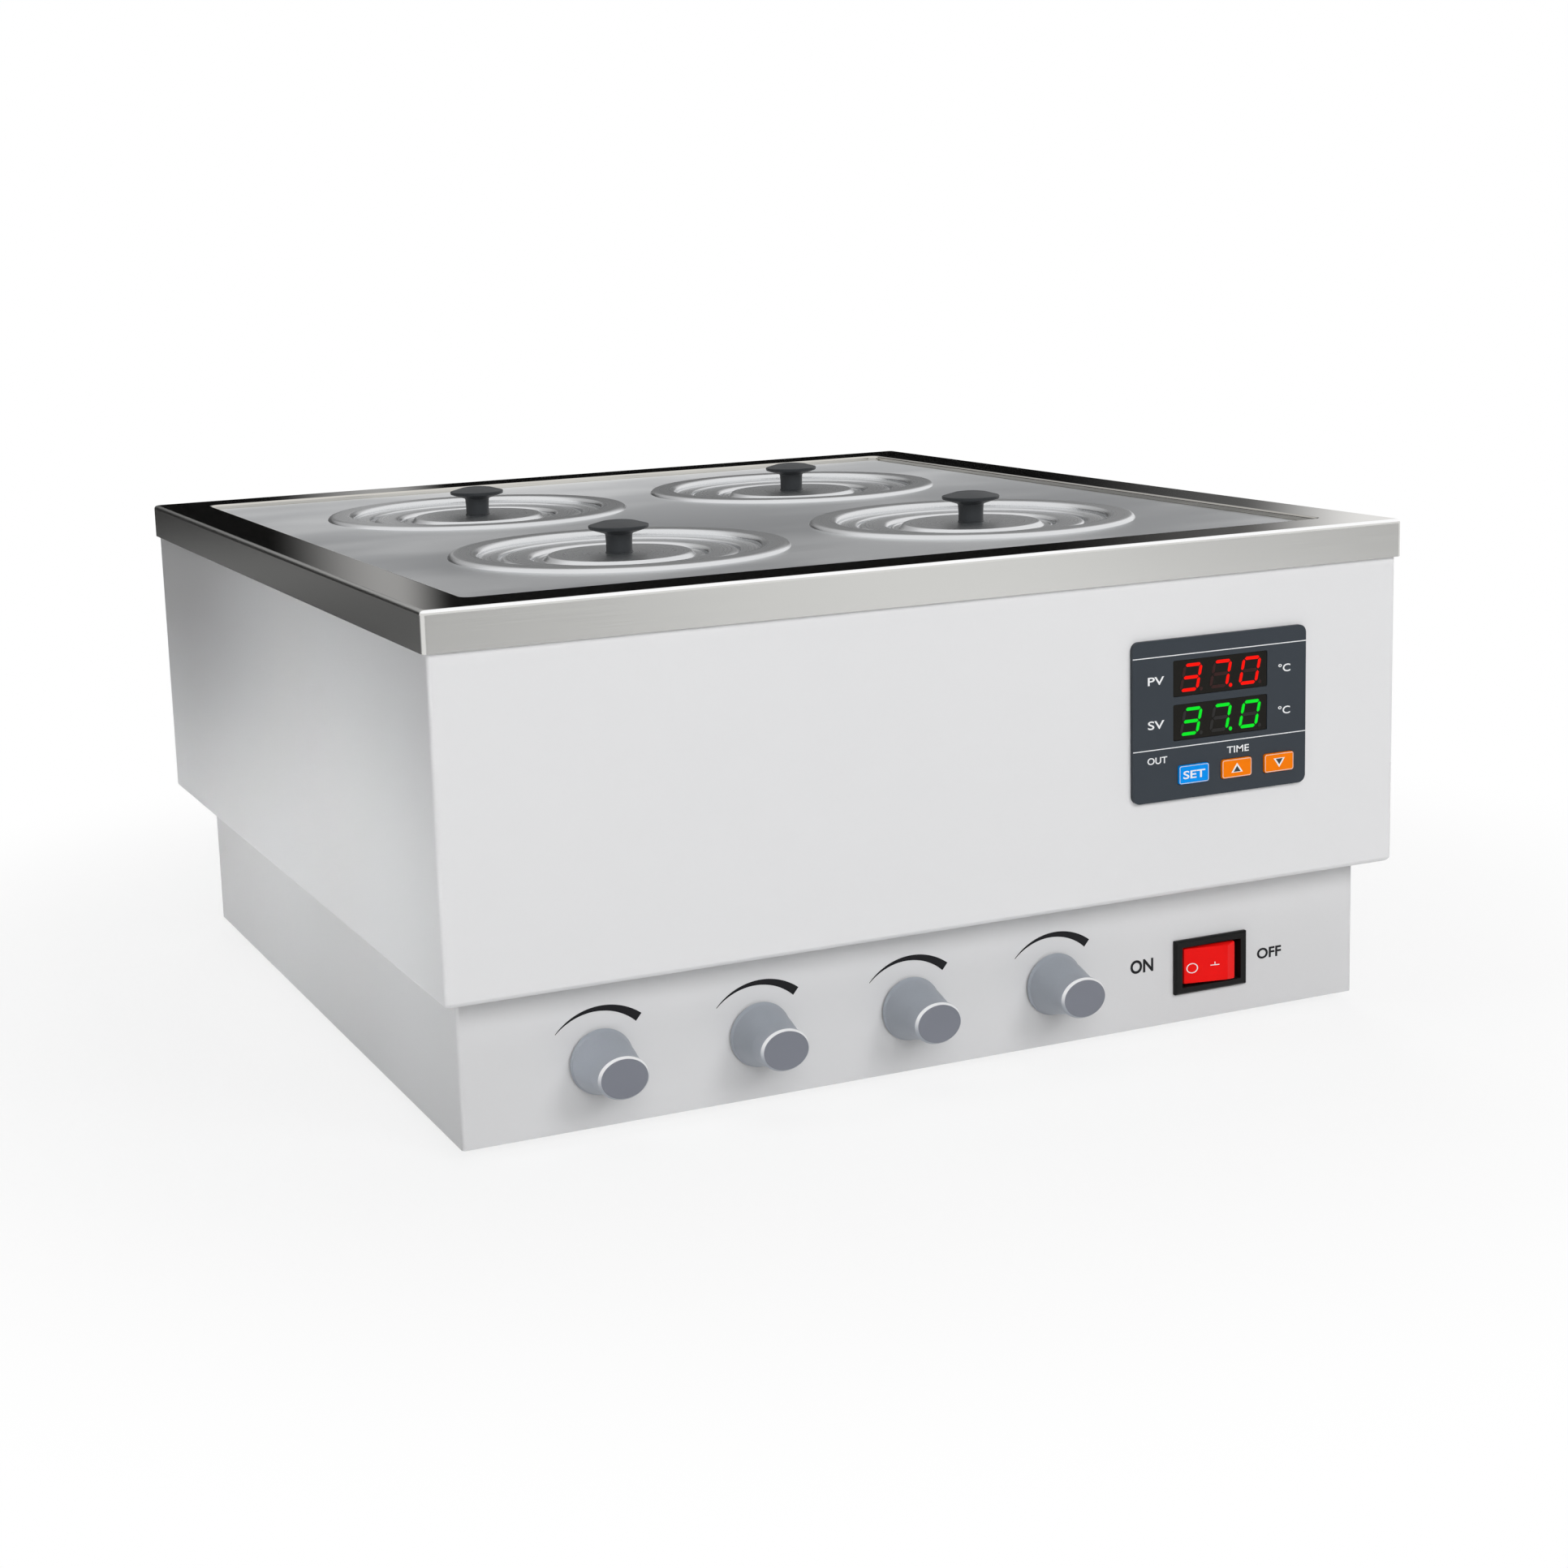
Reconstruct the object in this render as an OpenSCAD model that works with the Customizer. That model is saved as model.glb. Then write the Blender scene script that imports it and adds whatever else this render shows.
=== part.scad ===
// Four-place stirring water bath: a steel tank in a painted casing on an inset base.
// +Z is up and -Y is the front. Every length is in millimetres.

/* [Rim and tank] */
// Height of the rim's turned-down skirt
skirt_h = 14; // [10:0.5:20]
// Corner radius of the rim
rim_r = 3; // [2:0.25:6]
// Width of the flat flange around the cover plate
flange_w = 21; // [18:0.5:24]
// How far the cover plate's face lies below the rim
plate_recess = 2; // [1:0.25:4]
// Width of the ledge that carries the cover plate, round the tank
ledge_w = 19; // [16:0.5:24]
// Depth of the tank below the rim
tank_depth = 118; // [100:0.5:150]
// Corner radius of the tank
tank_r = 12; // [6:1:18]
// Thickness of the steel sheet
sheet_t = 1.2; // [0.8:0.1:1.4]

/* [Casings] */
// Height of the base casing
base_h = 53.5; // [52:0.5:64]
// How far the base is set in at each side, from the upper casing
base_side_inset = 7.6; // [4:0.2:12]
// How far the base front is set back from the upper casing
base_front_inset = 13.3; // [9:0.1:16]
// How far the base back is set in from the upper casing
base_back_inset = 42.5; // [30:0.5:46]
// Width of the folded inner lips that the screws hold
lip_w = 12; // [10:0.5:13]
// Thickness of the seal under the flange
gasket_t = 1.5; // [1:0.1:2]
// Thickness of the insulating jacket round the tank
jacket_t = 24; // [16:1:26]
// Height of the rubber feet
foot_h = 4; // [3.5:0.5:8]
// Diameter of the rubber feet
foot_d = 22; // [18:1:28]

/* [Cover plate and rings] */
// Outer radius of the largest ring
ring_r = 64; // [60:0.5:70]
// Space between the largest rings, left to right
ring_space_x = 22; // [14:0.5:30]
// Space between the largest rings, front to back
ring_space_y = 34.6; // [22:0.2:42]
// Width of the plate outside the rings, left and right
ring_margin_x = 30; // [22:0.5:40]
// Width of the plate outside the rings, front and back
ring_margin_y = 33.7; // [24:0.1:44]
// Width of the largest ring's rounded crown
outer_crown_w = 11; // [9:0.2:12]
// Width of the middle ring's rounded crown
middle_crown_w = 7; // [6:0.2:8]
// Width of the smallest ring's rounded crown
inner_crown_w = 11.8; // [10:0.2:12.6]
// Height of the crowns
crown_rise = 2.4; // [1.6:0.1:2.8]
// Depth of the step that locates each ring
step_h = 2.2; // [2:0.1:3]
// Thickness of the pressed rings and lids
ring_t = 1; // [0.8:0.1:1.2]
// Gap between each ring and the next
ring_gap = 0.6; // [0.4:0.1:0.8]
// Height of a lid knob
lid_knob_h = 14; // [12:0.5:18]
// Diameter of a lid knob's cap
lid_knob_d = 23; // [18:0.5:26]
// Diameter of a lid knob's stem
lid_stem_d = 9.8; // [8:0.2:12]

/* [Speed knobs] */
// Distance from the last knob to the middle of the switch
switch_space = 67.9; // [50:0.1:80]
// First knob's distance from the left edge of the base
knob_inset = 50.3; // [40:0.1:54]
// Height of the knobs and of the switch above the base's lower edge
control_z = 23.2; // [20:0.1:26]
// How far the knobs reach in front of the base
knob_reach = 21.6; // [20:0.1:26]
// Diameter of a knob's skirt
knob_skirt_d = 24; // [20:0.5:28]
// Diameter of a knob's grip
knob_grip_d = 18; // [16:0.5:19]
// Diameter of the control shafts
shaft_d = 6; // [5:0.5:6.5]

/* [Controller] */
// Width of the controller's front panel
panel_w = 75; // [73:0.5:84]
// Height of the controller's front panel
panel_h = 59; // [57:0.5:66]
// Panel's distance from the right edge of the upper casing
panel_inset = 41.4; // [36:0.2:50]
// Panel's distance below the rim's skirt
panel_drop = 21.5; // [14:0.5:26]
// Thickness of the front panel
panel_t = 1.6; // [1.4:0.1:2]
// Width of each display window
display_w = 40.5; // [36:0.5:42]
// Height of each display window
display_h = 13; // [11:0.5:14]
// Width of a key
key_w = 13; // [11:0.2:14]
// Height of a key
key_h = 7; // [6:0.2:8]
// Travel of a key
key_travel = 0.5; // [0.3:0.1:0.6]
// How far the controller's case reaches behind the casing wall
case_depth = 27; // [20:1:30]

/* [Power switch and inlet] */
// Width of the switch bezel
bezel_w = 32; // [31:0.5:34]
// Height of the switch bezel
bezel_h = 20.8; // [20:0.2:22]
// Switch centre's distance from the right edge of the base
switch_inset = 65.8; // [60:0.2:76]
// Tilt of the rocker either way
rocker_tilt = 10; // [8:0.5:12]
// Width of the power inlet's flange
inlet_w = 50; // [48:0.5:56]
// Height of the power inlet's flange
inlet_h = 30; // [28:0.5:34]
// Power inlet's distance from the left edge of the base, seen from behind
inlet_inset = 70; // [56:1:90]

/* [Stirring and heating] */
// Diameter of a stirrer motor
motor_d = 37; // [32:1:42]
// Length of a stirrer motor
motor_l = 34; // [28:1:36]
// Diameter of a magnet carrier
carrier_d = 50; // [44:1:56]
// Height of a magnet carrier
rotor_h = 5.8; // [5:0.2:8]
// Diameter of the heating tube
heater_d = 8.5; // [7:0.5:10]
// Length of the temperature probe inside the tank
probe_l = 32; // [26:1:44]
// Distance between the probe's tip and the middle of the heating tube
probe_gap = 18; // [10:1:24]
// Distance from the heating tube to the tank's front and back walls
loop_margin = 45; // [40:1:60]
// Height of the shelf above the tank floor
shelf_h = 22; // [18:0.5:26]
// Diameter of the shelf's holes
shelf_hole_d = 14; // [8:0.5:16]
// Distance between the shelf's holes
shelf_pitch = 30; // [22:1:36]

/* [Hidden] */

$fn = 64;

// Clearances and small hardware
casing_gap = 0.4;
fit_gap = 0.3;
run_gap = 0.05;
beyond = 1;
screw_d = 4;
screw_hole_d = 4.5;
screw_head_d = 7.6;
screw_head_h = 2.2;
screw_l = 6;
motor_screw_d = 3;
motor_screw_head_d = 5.6;
motor_screw_head_h = 1.8;
motor_screw_l = 5;

// Plan of the top, from the rings outwards
place_pitch_x = 2 * ring_r + ring_space_x;
place_pitch_y = 2 * ring_r + ring_space_y;
recess_w = place_pitch_x + 2 * ring_r + 2 * ring_margin_x;
recess_d = place_pitch_y + 2 * ring_r + 2 * ring_margin_y;
rim_w = recess_w + 2 * flange_w;
rim_d = recess_d + 2 * flange_w;
tank_w = recess_w - 2 * ledge_w;
tank_d = recess_d - 2 * ledge_w;

// Levels above the floor
casing_z = foot_h + base_h;
rotor_lift = 0.9;
rotor_room = 1.6;
rotor_z = casing_z + sheet_t + motor_screw_head_h + rotor_lift;
tank_floor_z = rotor_z + rotor_h + rotor_room + sheet_t;
rim_z = tank_floor_z + tank_depth;
skirt_z = rim_z - skirt_h;
plate_z = rim_z - plate_recess;
ledge_z = plate_z - sheet_t;
casing_top_z = rim_z - sheet_t - gasket_t;
jacket_foot = 26;
jacket_room = 2;
jacket_z = tank_floor_z + jacket_foot;
jacket_top_z = casing_top_z - sheet_t - jacket_room;

// Plan sizes; the knobs stand in front of the rim, so the rim's centre lies behind the origin
casing_w = rim_w - 2 * (sheet_t + casing_gap);
casing_d = rim_d - 2 * (sheet_t + casing_gap);
casing_r = max(rim_r - sheet_t - casing_gap, 0.5);
knob_proud = knob_reach - base_front_inset - sheet_t - casing_gap;
rim_y = knob_proud / 2;
casing_front_y = rim_y - casing_d / 2;
base_w = casing_w - 2 * base_side_inset;
base_d = casing_d - base_front_inset - base_back_inset;
base_front_y = casing_front_y + base_front_inset;
base_back_y = base_front_y + base_d;
base_y = (base_front_y + base_back_y) / 2;
recess_r = 4;
plate_gap = 0.6;
places = [[-1, -1], [1, -1], [-1, 1], [1, 1]];

// Rings: each rests on the ledge inside the ring before it
middle_ring_r = ring_r - outer_crown_w - ring_gap;
inner_ring_r = middle_ring_r - middle_crown_w - ring_gap;
lid_r = inner_ring_r - inner_crown_w - ring_gap;
lid_lip_r = lid_r - 4;
lid_lip_h = 3;
ring_drop = step_h - ring_t;
middle_z = plate_z - ring_drop;
inner_z = middle_z - ring_drop;
lid_z = inner_z - ring_drop;
lid_stud_d = 5;
lid_nut_h = 3;
lid_nut_d = 9;

// Controller
panel_x = casing_w / 2 - panel_inset - panel_w / 2;
panel_z = skirt_z - panel_drop - panel_h / 2;
panel_front_y = casing_front_y - panel_t;
panel_r = 3;
pv_rise = 14.8;
display_pitch = 16.1;
key_drop = 20.6;
key_pitch = 18.6;
key_shift = 6.7;
pv_z = panel_z + pv_rise;
sv_z = pv_z - display_pitch;
key_z = panel_z - key_drop;
up_key_x = panel_x + key_shift;
key_proud = 0.8;
key_gap = 0.15;
key_flange = 1;
key_flange_t = 0.8;
display_sunk = 0.3;
display_t = 6;
case_inset = 3.5;
case_w = panel_w - 2 * case_inset;
case_h = panel_h - 2 * case_inset;
key_room = key_flange_t + key_travel + key_gap;

// Front controls
control_level = foot_h + control_z;
knob_x0 = -base_w / 2 + knob_inset;
knob_pitch = (base_w - knob_inset - switch_space - switch_inset) / 3;
knob_gap = 0.8;
shaft_l = 16;
bushing_d = 7.5;
bushing_l = 5;
pot_d = 16.5;
pot_t = 10;
pot_lug_w = 12;
pot_lug_h = 8;
pot_lug_t = 1.2;
pot_lug_drop = 13;
pot_nut_d = 12;
pot_nut_t = 2;
nut_room_d = 15;
nut_room = bushing_l + 1;
switch_x = base_w / 2 - switch_inset;
switch_drop = 2;
switch_z = foot_h + control_z - switch_drop;
bezel_t = 2;
bezel_body_w = bezel_w - 3.4;
bezel_body_h = bezel_h - 3;
switch_depth = 20;
pocket_w = bezel_body_w - 3.6;
pocket_h = bezel_body_h - 2.8;
pocket_depth = 9.5;
pivot_in = 2;
rocker_face = bezel_t + pivot_in + 2;
rocker_w = pocket_w - 2.6;
rocker_h = pocket_h - 2 * fit_gap;
rocker_back = 3.5;
trunnion_d = 3;
trunnion_l = 1;
inlet_x = base_w / 2 - inlet_inset;
inlet_z = foot_h + base_h / 2;
inlet_flange_t = 3;
inlet_body_depth = 22;
inlet_body_w = inlet_w - 4;
inlet_body_h = inlet_h - 4;
socket_w = 24.6;
socket_h = 17;
socket_depth = 16;
socket_shift = 9;
fuse_shift = 15;
socket_x = inlet_x + socket_shift;
fuse_x = inlet_x - fuse_shift;
fuse_w = 10;
fuse_h = 19;
fuse_proud = 0.8;
fuse_recess = 1;
pin_t = 2;
pin_w = 4;
pin_l = 9;
pin_pitch = 7;
pin_rise = 2;

// Stirring
boss_d = 12;
boss_l = 2.4;
shaft_in_motor = 12;
magnet_d = 12;
magnet_x = carrier_d / 2 - 8.5;
motor_screw_x = 12.5;

// Heating
heater_z = tank_floor_z + 10;
heater_lead_x = 28;
bend_r = 18;
gland_d = 12;
collar_d = 17;
collar_t = 2;
gland_l = 12;
gland_nut_t = 5;
heater_tail = 20;
gland_nut_d = 20;
probe_d = 6;
probe_y = rim_y;
loop_w = tank_w - 2 * (probe_l + probe_gap);
loop_d = tank_d - 2 * loop_margin;
shelf_t = 1.5;
shelf_gap = 4;
shelf_leg_d = 12;
shelf_leg_inset = 22;

// A rounded rectangle on the XY plane
module rounded_plan(w, d, r) {
    square([w - 2 * r, d], center = true);
    square([w, d - 2 * r], center = true);
    for (sx = [-1, 1])
        for (sy = [-1, 1])
            translate([sx * (w / 2 - r), sy * (d / 2 - r)])
                circle(r);
}

// A rounded slab centred on the rim, between two levels
module slab(w, d, r, low, high) {
    translate([0, rim_y, low])
        linear_extrude(high - low)
            rounded_plan(w, d, r);
}

// A rounded slab centred on the base, between two levels
module base_slab(w, d, r, low, high) {
    translate([0, base_y, low])
        linear_extrude(high - low)
            rounded_plan(w, d, r);
}

// A rounded plate standing on a wall: its front face lies at y, and it runs back by t
module wall_plate(x, y, z, w, h, r, t) {
    translate([x, y, z])
        rotate([-90, 0, 0])
            linear_extrude(t)
                rounded_plan(w, h, r);
}

// A cylinder that runs back from y, along +Y
module rod_y(x, y, z, d, l) {
    translate([x, y, z])
        rotate([-90, 0, 0])
            cylinder(d = d, h = l);
}

// A hexagon prism that runs back from y, along +Y
module hex_y(x, y, z, d, l) {
    translate([x, y, z])
        rotate([-90, 0, 0])
            cylinder(d = d, h = l, $fn = 6);
}

// The children at the centre of each place, at a level
module at_places(level) {
    for (p = places)
        at_place(p, level)
            children();
}

module at_place(p, level) {
    translate([p[0] * place_pitch_x / 2, rim_y + p[1] * place_pitch_y / 2, level])
        children();
}

// Stirring drive: the motor screws lie on both sides of each shaft
module at_motor_screws(level) {
    at_places(level)
        for (sx = [-1, 1])
            translate([sx * motor_screw_x, 0, 0])
                children();
}

// Screws along the long lips of the base, left and right
screw_rows = [-0.38, -0.13, 0.13, 0.38];
module at_lip_screws(level) {
    for (sx = [-1, 1])
        for (row = screw_rows)
            translate([sx * (base_w / 2 - sheet_t - lip_w / 2 - 1), base_y + row * base_d, level])
                children();
}

foot_inset = 32;
module at_feet(level) {
    for (sx = [-1, 1])
        for (sy = [-1, 1])
            translate([sx * (base_w / 2 - foot_inset), base_y + sy * (base_d / 2 - foot_inset), level])
                children();
}

module lip_screw(up) {
    mirror([0, 0, up ? 0 : 1]) {
        translate([0, 0, -screw_head_h])
            cylinder(d = screw_head_d, h = screw_head_h);
        cylinder(d = screw_d, h = screw_l);
    }
}

passage_w = 40;
passage_d = 60;
passage_r = 6;

// Painted steel box with a floor that carries the motors and a lip that carries the tank
module upper_casing() {
    color("whitesmoke")
        difference() {
            slab(casing_w, casing_d, casing_r, casing_z, casing_top_z);
            slab(casing_w - 2 * sheet_t, casing_d - 2 * sheet_t, 0.4, casing_z + sheet_t,
                 casing_top_z - sheet_t);
            slab(casing_w - 2 * lip_w, casing_d - 2 * lip_w, tank_r, casing_z + 2 * sheet_t,
                 casing_top_z + beyond);
            wall_plate(panel_x, casing_front_y - beyond, panel_z, case_w + 2 * fit_gap,
                       case_h + 2 * fit_gap, 1, sheet_t + 2 * beyond);
            at_places(casing_z - beyond)
                cylinder(d = boss_d + 2 * fit_gap, h = sheet_t + 2 * beyond);
            at_motor_screws(casing_z - beyond)
                cylinder(d = motor_screw_d, h = sheet_t + 2 * beyond);
            at_lip_screws(casing_z - beyond)
                cylinder(d = screw_d, h = sheet_t + 2 * beyond);
            // Passage for the wires to the controller and the heater
            slab(passage_w, passage_d, passage_r, casing_z - beyond, casing_z + sheet_t + beyond);
        }
}

vent_count = 14;
vent_pitch = 9;
vent_w = 3;
vent_h = 26;
vent_space = 67.3;
vent_x = inlet_x - inlet_w / 2 - vent_space - (vent_count - 1) / 2 * vent_pitch;

// Painted steel frame on which the upper casing stands, open below for the bottom plate
module base_casing() {
    inner_w = base_w - 2 * sheet_t;
    inner_d = base_d - 2 * sheet_t;
    color("whitesmoke")
        difference() {
            base_slab(base_w, base_d, casing_r, foot_h, casing_z);
            base_slab(inner_w, inner_d, 0.4, foot_h + 2 * sheet_t, casing_z - sheet_t);
            base_slab(inner_w, inner_d, 0.4, foot_h - beyond, foot_h + sheet_t);
            base_slab(inner_w - 2 * lip_w, inner_d - 2 * lip_w, 4, foot_h, casing_z + beyond);
            at_lip_screws(foot_h)
                cylinder(d = screw_d, h = 3 * sheet_t);
            at_lip_screws(casing_z - 2 * sheet_t)
                cylinder(d = screw_hole_d, h = 3 * sheet_t);
            for (i = [0:3])
                rod_y(knob_x0 + i * knob_pitch, base_front_y - beyond, control_level,
                      bushing_d + 2 * fit_gap, sheet_t + 2 * beyond);
            wall_plate(switch_x, base_front_y - beyond, switch_z, bezel_body_w + 2 * fit_gap,
                       bezel_body_h + 2 * fit_gap, 0.5, sheet_t + 2 * beyond);
            wall_plate(inlet_x, base_back_y - sheet_t - beyond, inlet_z, inlet_body_w + 2 * fit_gap,
                       inlet_body_h + 2 * fit_gap, 1, sheet_t + 2 * beyond);
            for (i = [0:vent_count - 1])
                wall_plate(vent_x + (i - (vent_count - 1) / 2) * vent_pitch,
                           base_back_y - sheet_t - beyond, inlet_z, vent_w, vent_h, 1.4,
                           sheet_t + 2 * beyond);
        }
}

board_w = 96;
board_d = 150;
board_t = 1.6;
board_standoff = 6;
board_z = foot_h + sheet_t + board_standoff;
stud_inset = 6;
stud_d = 6;
slot_count = 9;
slot_pitch = 12;
slot_l = 46;
slot_w = 4;

module at_board_corners(level) {
    for (sx = [-1, 1])
        for (sy = [-1, 1])
            translate([sx * (board_w / 2 - stud_inset), base_y + sy * (board_d / 2 - stud_inset),
                       level])
                children();
}

// Steel floor of the base, with clinched studs for the board and two rows of air slots
module bottom_plate() {
    color("gainsboro")
        difference() {
            union() {
                base_slab(base_w - 2 * sheet_t - 2 * fit_gap, base_d - 2 * sheet_t - 2 * fit_gap, 1,
                          foot_h, foot_h + sheet_t);
                at_board_corners(foot_h + sheet_t)
                    cylinder(d = stud_d, h = board_standoff);
            }
            at_lip_screws(foot_h - beyond)
                cylinder(d = screw_hole_d, h = sheet_t + 2 * beyond);
            at_feet(foot_h - beyond)
                cylinder(d = screw_d, h = sheet_t + 2 * beyond);
            for (sx = [-1, 1])
                for (i = [0:slot_count - 1])
                    translate([sx * base_w / 4, base_y + (i - (slot_count - 1) / 2) * slot_pitch,
                               foot_h - beyond])
                        linear_extrude(sheet_t + 2 * beyond)
                            rounded_plan(slot_l, slot_w, slot_w / 2 - 0.1);
        }
}

foot_recess_d = 10;
foot_web = 1.4;

// Four turned rubber feet, each with a recess for its screw
module rubber_feet() {
    color("dimgray")
        at_feet(0)
            difference() {
                cylinder(d1 = foot_d - 2, d2 = foot_d, h = foot_h);
                translate([0, 0, -beyond])
                    cylinder(d = foot_recess_d, h = foot_h - foot_web + beyond);
                cylinder(d = screw_d, h = foot_h + beyond);
            }
}

// Alike screws: the bottom plate's, the feet's and those between base and upper casing
module casing_screws() {
    color("silver") {
        at_lip_screws(foot_h)
            lip_screw(true);
        at_lip_screws(casing_z - sheet_t)
            lip_screw(true);
        at_feet(foot_h - foot_web)
            lip_screw(true);
    }
}

// One-piece steel tank with a joggled flange and a turned-down skirt
module tank() {
    color("silver")
        difference() {
            union() {
                difference() {
                    slab(rim_w, rim_d, rim_r, skirt_z, rim_z);
                    slab(rim_w - 2 * sheet_t, rim_d - 2 * sheet_t, rim_r - sheet_t,
                         skirt_z - beyond, rim_z - sheet_t);
                }
                slab(recess_w + 2 * sheet_t, recess_d + 2 * sheet_t, recess_r + sheet_t,
                     ledge_z - sheet_t, rim_z - sheet_t / 2);
                slab(tank_w + 2 * sheet_t, tank_d + 2 * sheet_t, tank_r + sheet_t,
                     tank_floor_z - sheet_t, ledge_z - sheet_t / 2);
            }
            slab(recess_w, recess_d, recess_r, ledge_z, rim_z + beyond);
            slab(tank_w, tank_d, tank_r, tank_floor_z, rim_z + beyond);
            for (sx = [-1, 1])
                rod_y(sx * heater_lead_x, rim_y + tank_d / 2 - beyond, heater_z,
                      gland_d, sheet_t + 2 * beyond);
            translate([tank_w / 2 - beyond, probe_y, heater_z])
                rotate([0, 90, 0])
                    cylinder(d = gland_d, h = sheet_t + 2 * beyond);
        }
}

// Seal between the casing's lip and the flange
module rim_gasket() {
    color("gray")
        difference() {
            slab(casing_w - 1, casing_d - 1, casing_r, casing_top_z, casing_top_z + gasket_t);
            slab(casing_w - 2 * lip_w + 2, casing_d - 2 * lip_w + 2, tank_r,
                 casing_top_z - beyond, casing_top_z + gasket_t + beyond);
        }
}

// Foam jacket bonded round the tank, notched behind the controller
module insulation_jacket() {
    inner_w = tank_w + 2 * sheet_t + 2 * fit_gap;
    inner_d = tank_d + 2 * sheet_t + 2 * fit_gap;
    color("khaki")
        difference() {
            slab(inner_w + 2 * jacket_t, inner_d + 2 * jacket_t, tank_r + jacket_t, jacket_z,
                 jacket_top_z);
            slab(inner_w, inner_d, tank_r + sheet_t, jacket_z - beyond, jacket_top_z + beyond);
            translate([panel_x - case_w / 2 - 3, casing_front_y, jacket_z - beyond])
                cube([case_w + 6, case_depth + sheet_t + 4,
                      panel_z + case_h / 2 + 4 - jacket_z + beyond]);
        }
}

// A quarter bend of the heating tube, centred on its bend centre
module heater_bend(x, y, turn) {
    translate([x, y, heater_z])
        rotate([0, 0, turn])
            rotate_extrude(angle = 90)
                translate([bend_r, 0])
                    circle(d = heater_d, $fn = 32);
}

// A straight run of the heating tube along X
module heater_run_x(x, y, l) {
    translate([x, y, heater_z])
        rotate([0, 90, 0])
            cylinder(d = heater_d, h = l, $fn = 32);
}

// Sheathed heating tube: one loop round the tank floor, both ends through the back wall
module heating_element() {
    half_w = loop_w / 2;
    front = rim_y - loop_d / 2;
    back = rim_y + loop_d / 2;
    wall = rim_y + tank_d / 2;
    lead_y = back + bend_r;
    color("slategray") {
        for (sx = [-1, 1]) {
            rod_y(sx * heater_lead_x, lead_y, heater_z, heater_d,
                  wall + sheet_t + heater_tail - lead_y, $fn = 32);
            rod_y(sx * half_w, front + bend_r, heater_z, heater_d, loop_d - 2 * bend_r, $fn = 32);
            difference() {
                union() {
                    rod_y(sx * heater_lead_x, wall - collar_t, heater_z, collar_d, collar_t);
                    rod_y(sx * heater_lead_x, wall - collar_t / 2, heater_z, gland_d, gland_l);
                }
                rod_y(sx * heater_lead_x, wall - collar_t - beyond, heater_z, heater_d,
                      gland_l + collar_t + 2 * beyond, $fn = 32);
            }
        }
        heater_run_x(-half_w + bend_r, front, loop_w - 2 * bend_r);
        heater_run_x(-half_w + bend_r, back, half_w - heater_lead_x - 2 * bend_r);
        heater_run_x(heater_lead_x + bend_r, back, half_w - heater_lead_x - 2 * bend_r);
        heater_bend(-half_w + bend_r, front + bend_r, 180);
        heater_bend(half_w - bend_r, front + bend_r, 270);
        heater_bend(-half_w + bend_r, back - bend_r, 90);
        heater_bend(half_w - bend_r, back - bend_r, 0);
        heater_bend(-heater_lead_x - bend_r, back + bend_r, 270);
        heater_bend(heater_lead_x + bend_r, back + bend_r, 180);
    }
}

// Hexagon nuts outside the tank wall, on the heater's ends and on the probe
module tank_glands() {
    color("goldenrod") {
        for (sx = [-1, 1])
            difference() {
                hex_y(sx * heater_lead_x, rim_y + tank_d / 2 + sheet_t, heater_z, gland_nut_d,
                      gland_nut_t);
                rod_y(sx * heater_lead_x, rim_y + tank_d / 2, heater_z, gland_d,
                      gland_nut_t + 2 * sheet_t);
            }
        translate([tank_w / 2 + sheet_t, probe_y, heater_z])
            rotate([0, 90, 0])
                difference() {
                    cylinder(d = gland_nut_d, h = gland_nut_t, $fn = 6);
                    translate([0, 0, -beyond])
                        cylinder(d = gland_d, h = gland_nut_t + 2 * beyond);
                }
    }
}

// Sheathed temperature probe through the right wall, under the shelf
module temperature_probe() {
    color("silver")
        translate([tank_w / 2, probe_y, heater_z])
            rotate([0, 90, 0]) {
                translate([0, 0, -probe_l])
                    cylinder(d = probe_d, h = probe_l + gland_l + 4);
                translate([0, 0, -collar_t])
                    cylinder(d = collar_d, h = collar_t);
                cylinder(d = gland_d, h = gland_l - collar_t);
            }
}

// Perforated steel shelf on four legs, on which the flasks stand
module perforated_shelf() {
    shelf_w = tank_w - 2 * shelf_gap;
    shelf_d = tank_d - 2 * shelf_gap;
    top = tank_floor_z + shelf_h;
    columns = floor((shelf_w - 30) / shelf_pitch);
    rows = floor((shelf_d - 30) / shelf_pitch);
    color("silver") {
        difference() {
            slab(shelf_w, shelf_d, tank_r - 2, top - shelf_t, top);
            for (i = [0:columns - 1])
                for (j = [0:rows - 1])
                    translate([(i - (columns - 1) / 2) * shelf_pitch,
                               rim_y + (j - (rows - 1) / 2) * shelf_pitch, top - shelf_t - beyond])
                        cylinder(d = shelf_hole_d, h = shelf_t + 2 * beyond, $fn = 24);
        }
        for (sx = [-1, 1])
            for (sy = [-1, 1])
                translate([sx * (shelf_w / 2 - shelf_leg_inset + 10),
                           rim_y + sy * (shelf_d / 2 - shelf_leg_inset + 10), tank_floor_z])
                    cylinder(d = shelf_leg_d, h = shelf_h - shelf_t / 2);
    }
}

// Four direct-current motors under the casing floor, one below each place
module stirrer_motors() {
    color("darkgray")
        at_places(casing_z)
            difference() {
                union() {
                    translate([0, 0, -motor_l])
                        cylinder(d = motor_d, h = motor_l);
                    cylinder(d = boss_d, h = boss_l);
                    translate([0, 0, -motor_l - 2])
                        cylinder(d = 10, h = 3);
                }
                translate([0, 0, -shaft_in_motor - run_gap])
                    cylinder(d = shaft_d + 2 * run_gap, h = shaft_in_motor + boss_l + beyond);
                for (sx = [-1, 1])
                    translate([sx * motor_screw_x, 0, -motor_screw_l])
                        cylinder(d = motor_screw_d, h = motor_screw_l + beyond);
            }
}

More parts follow.
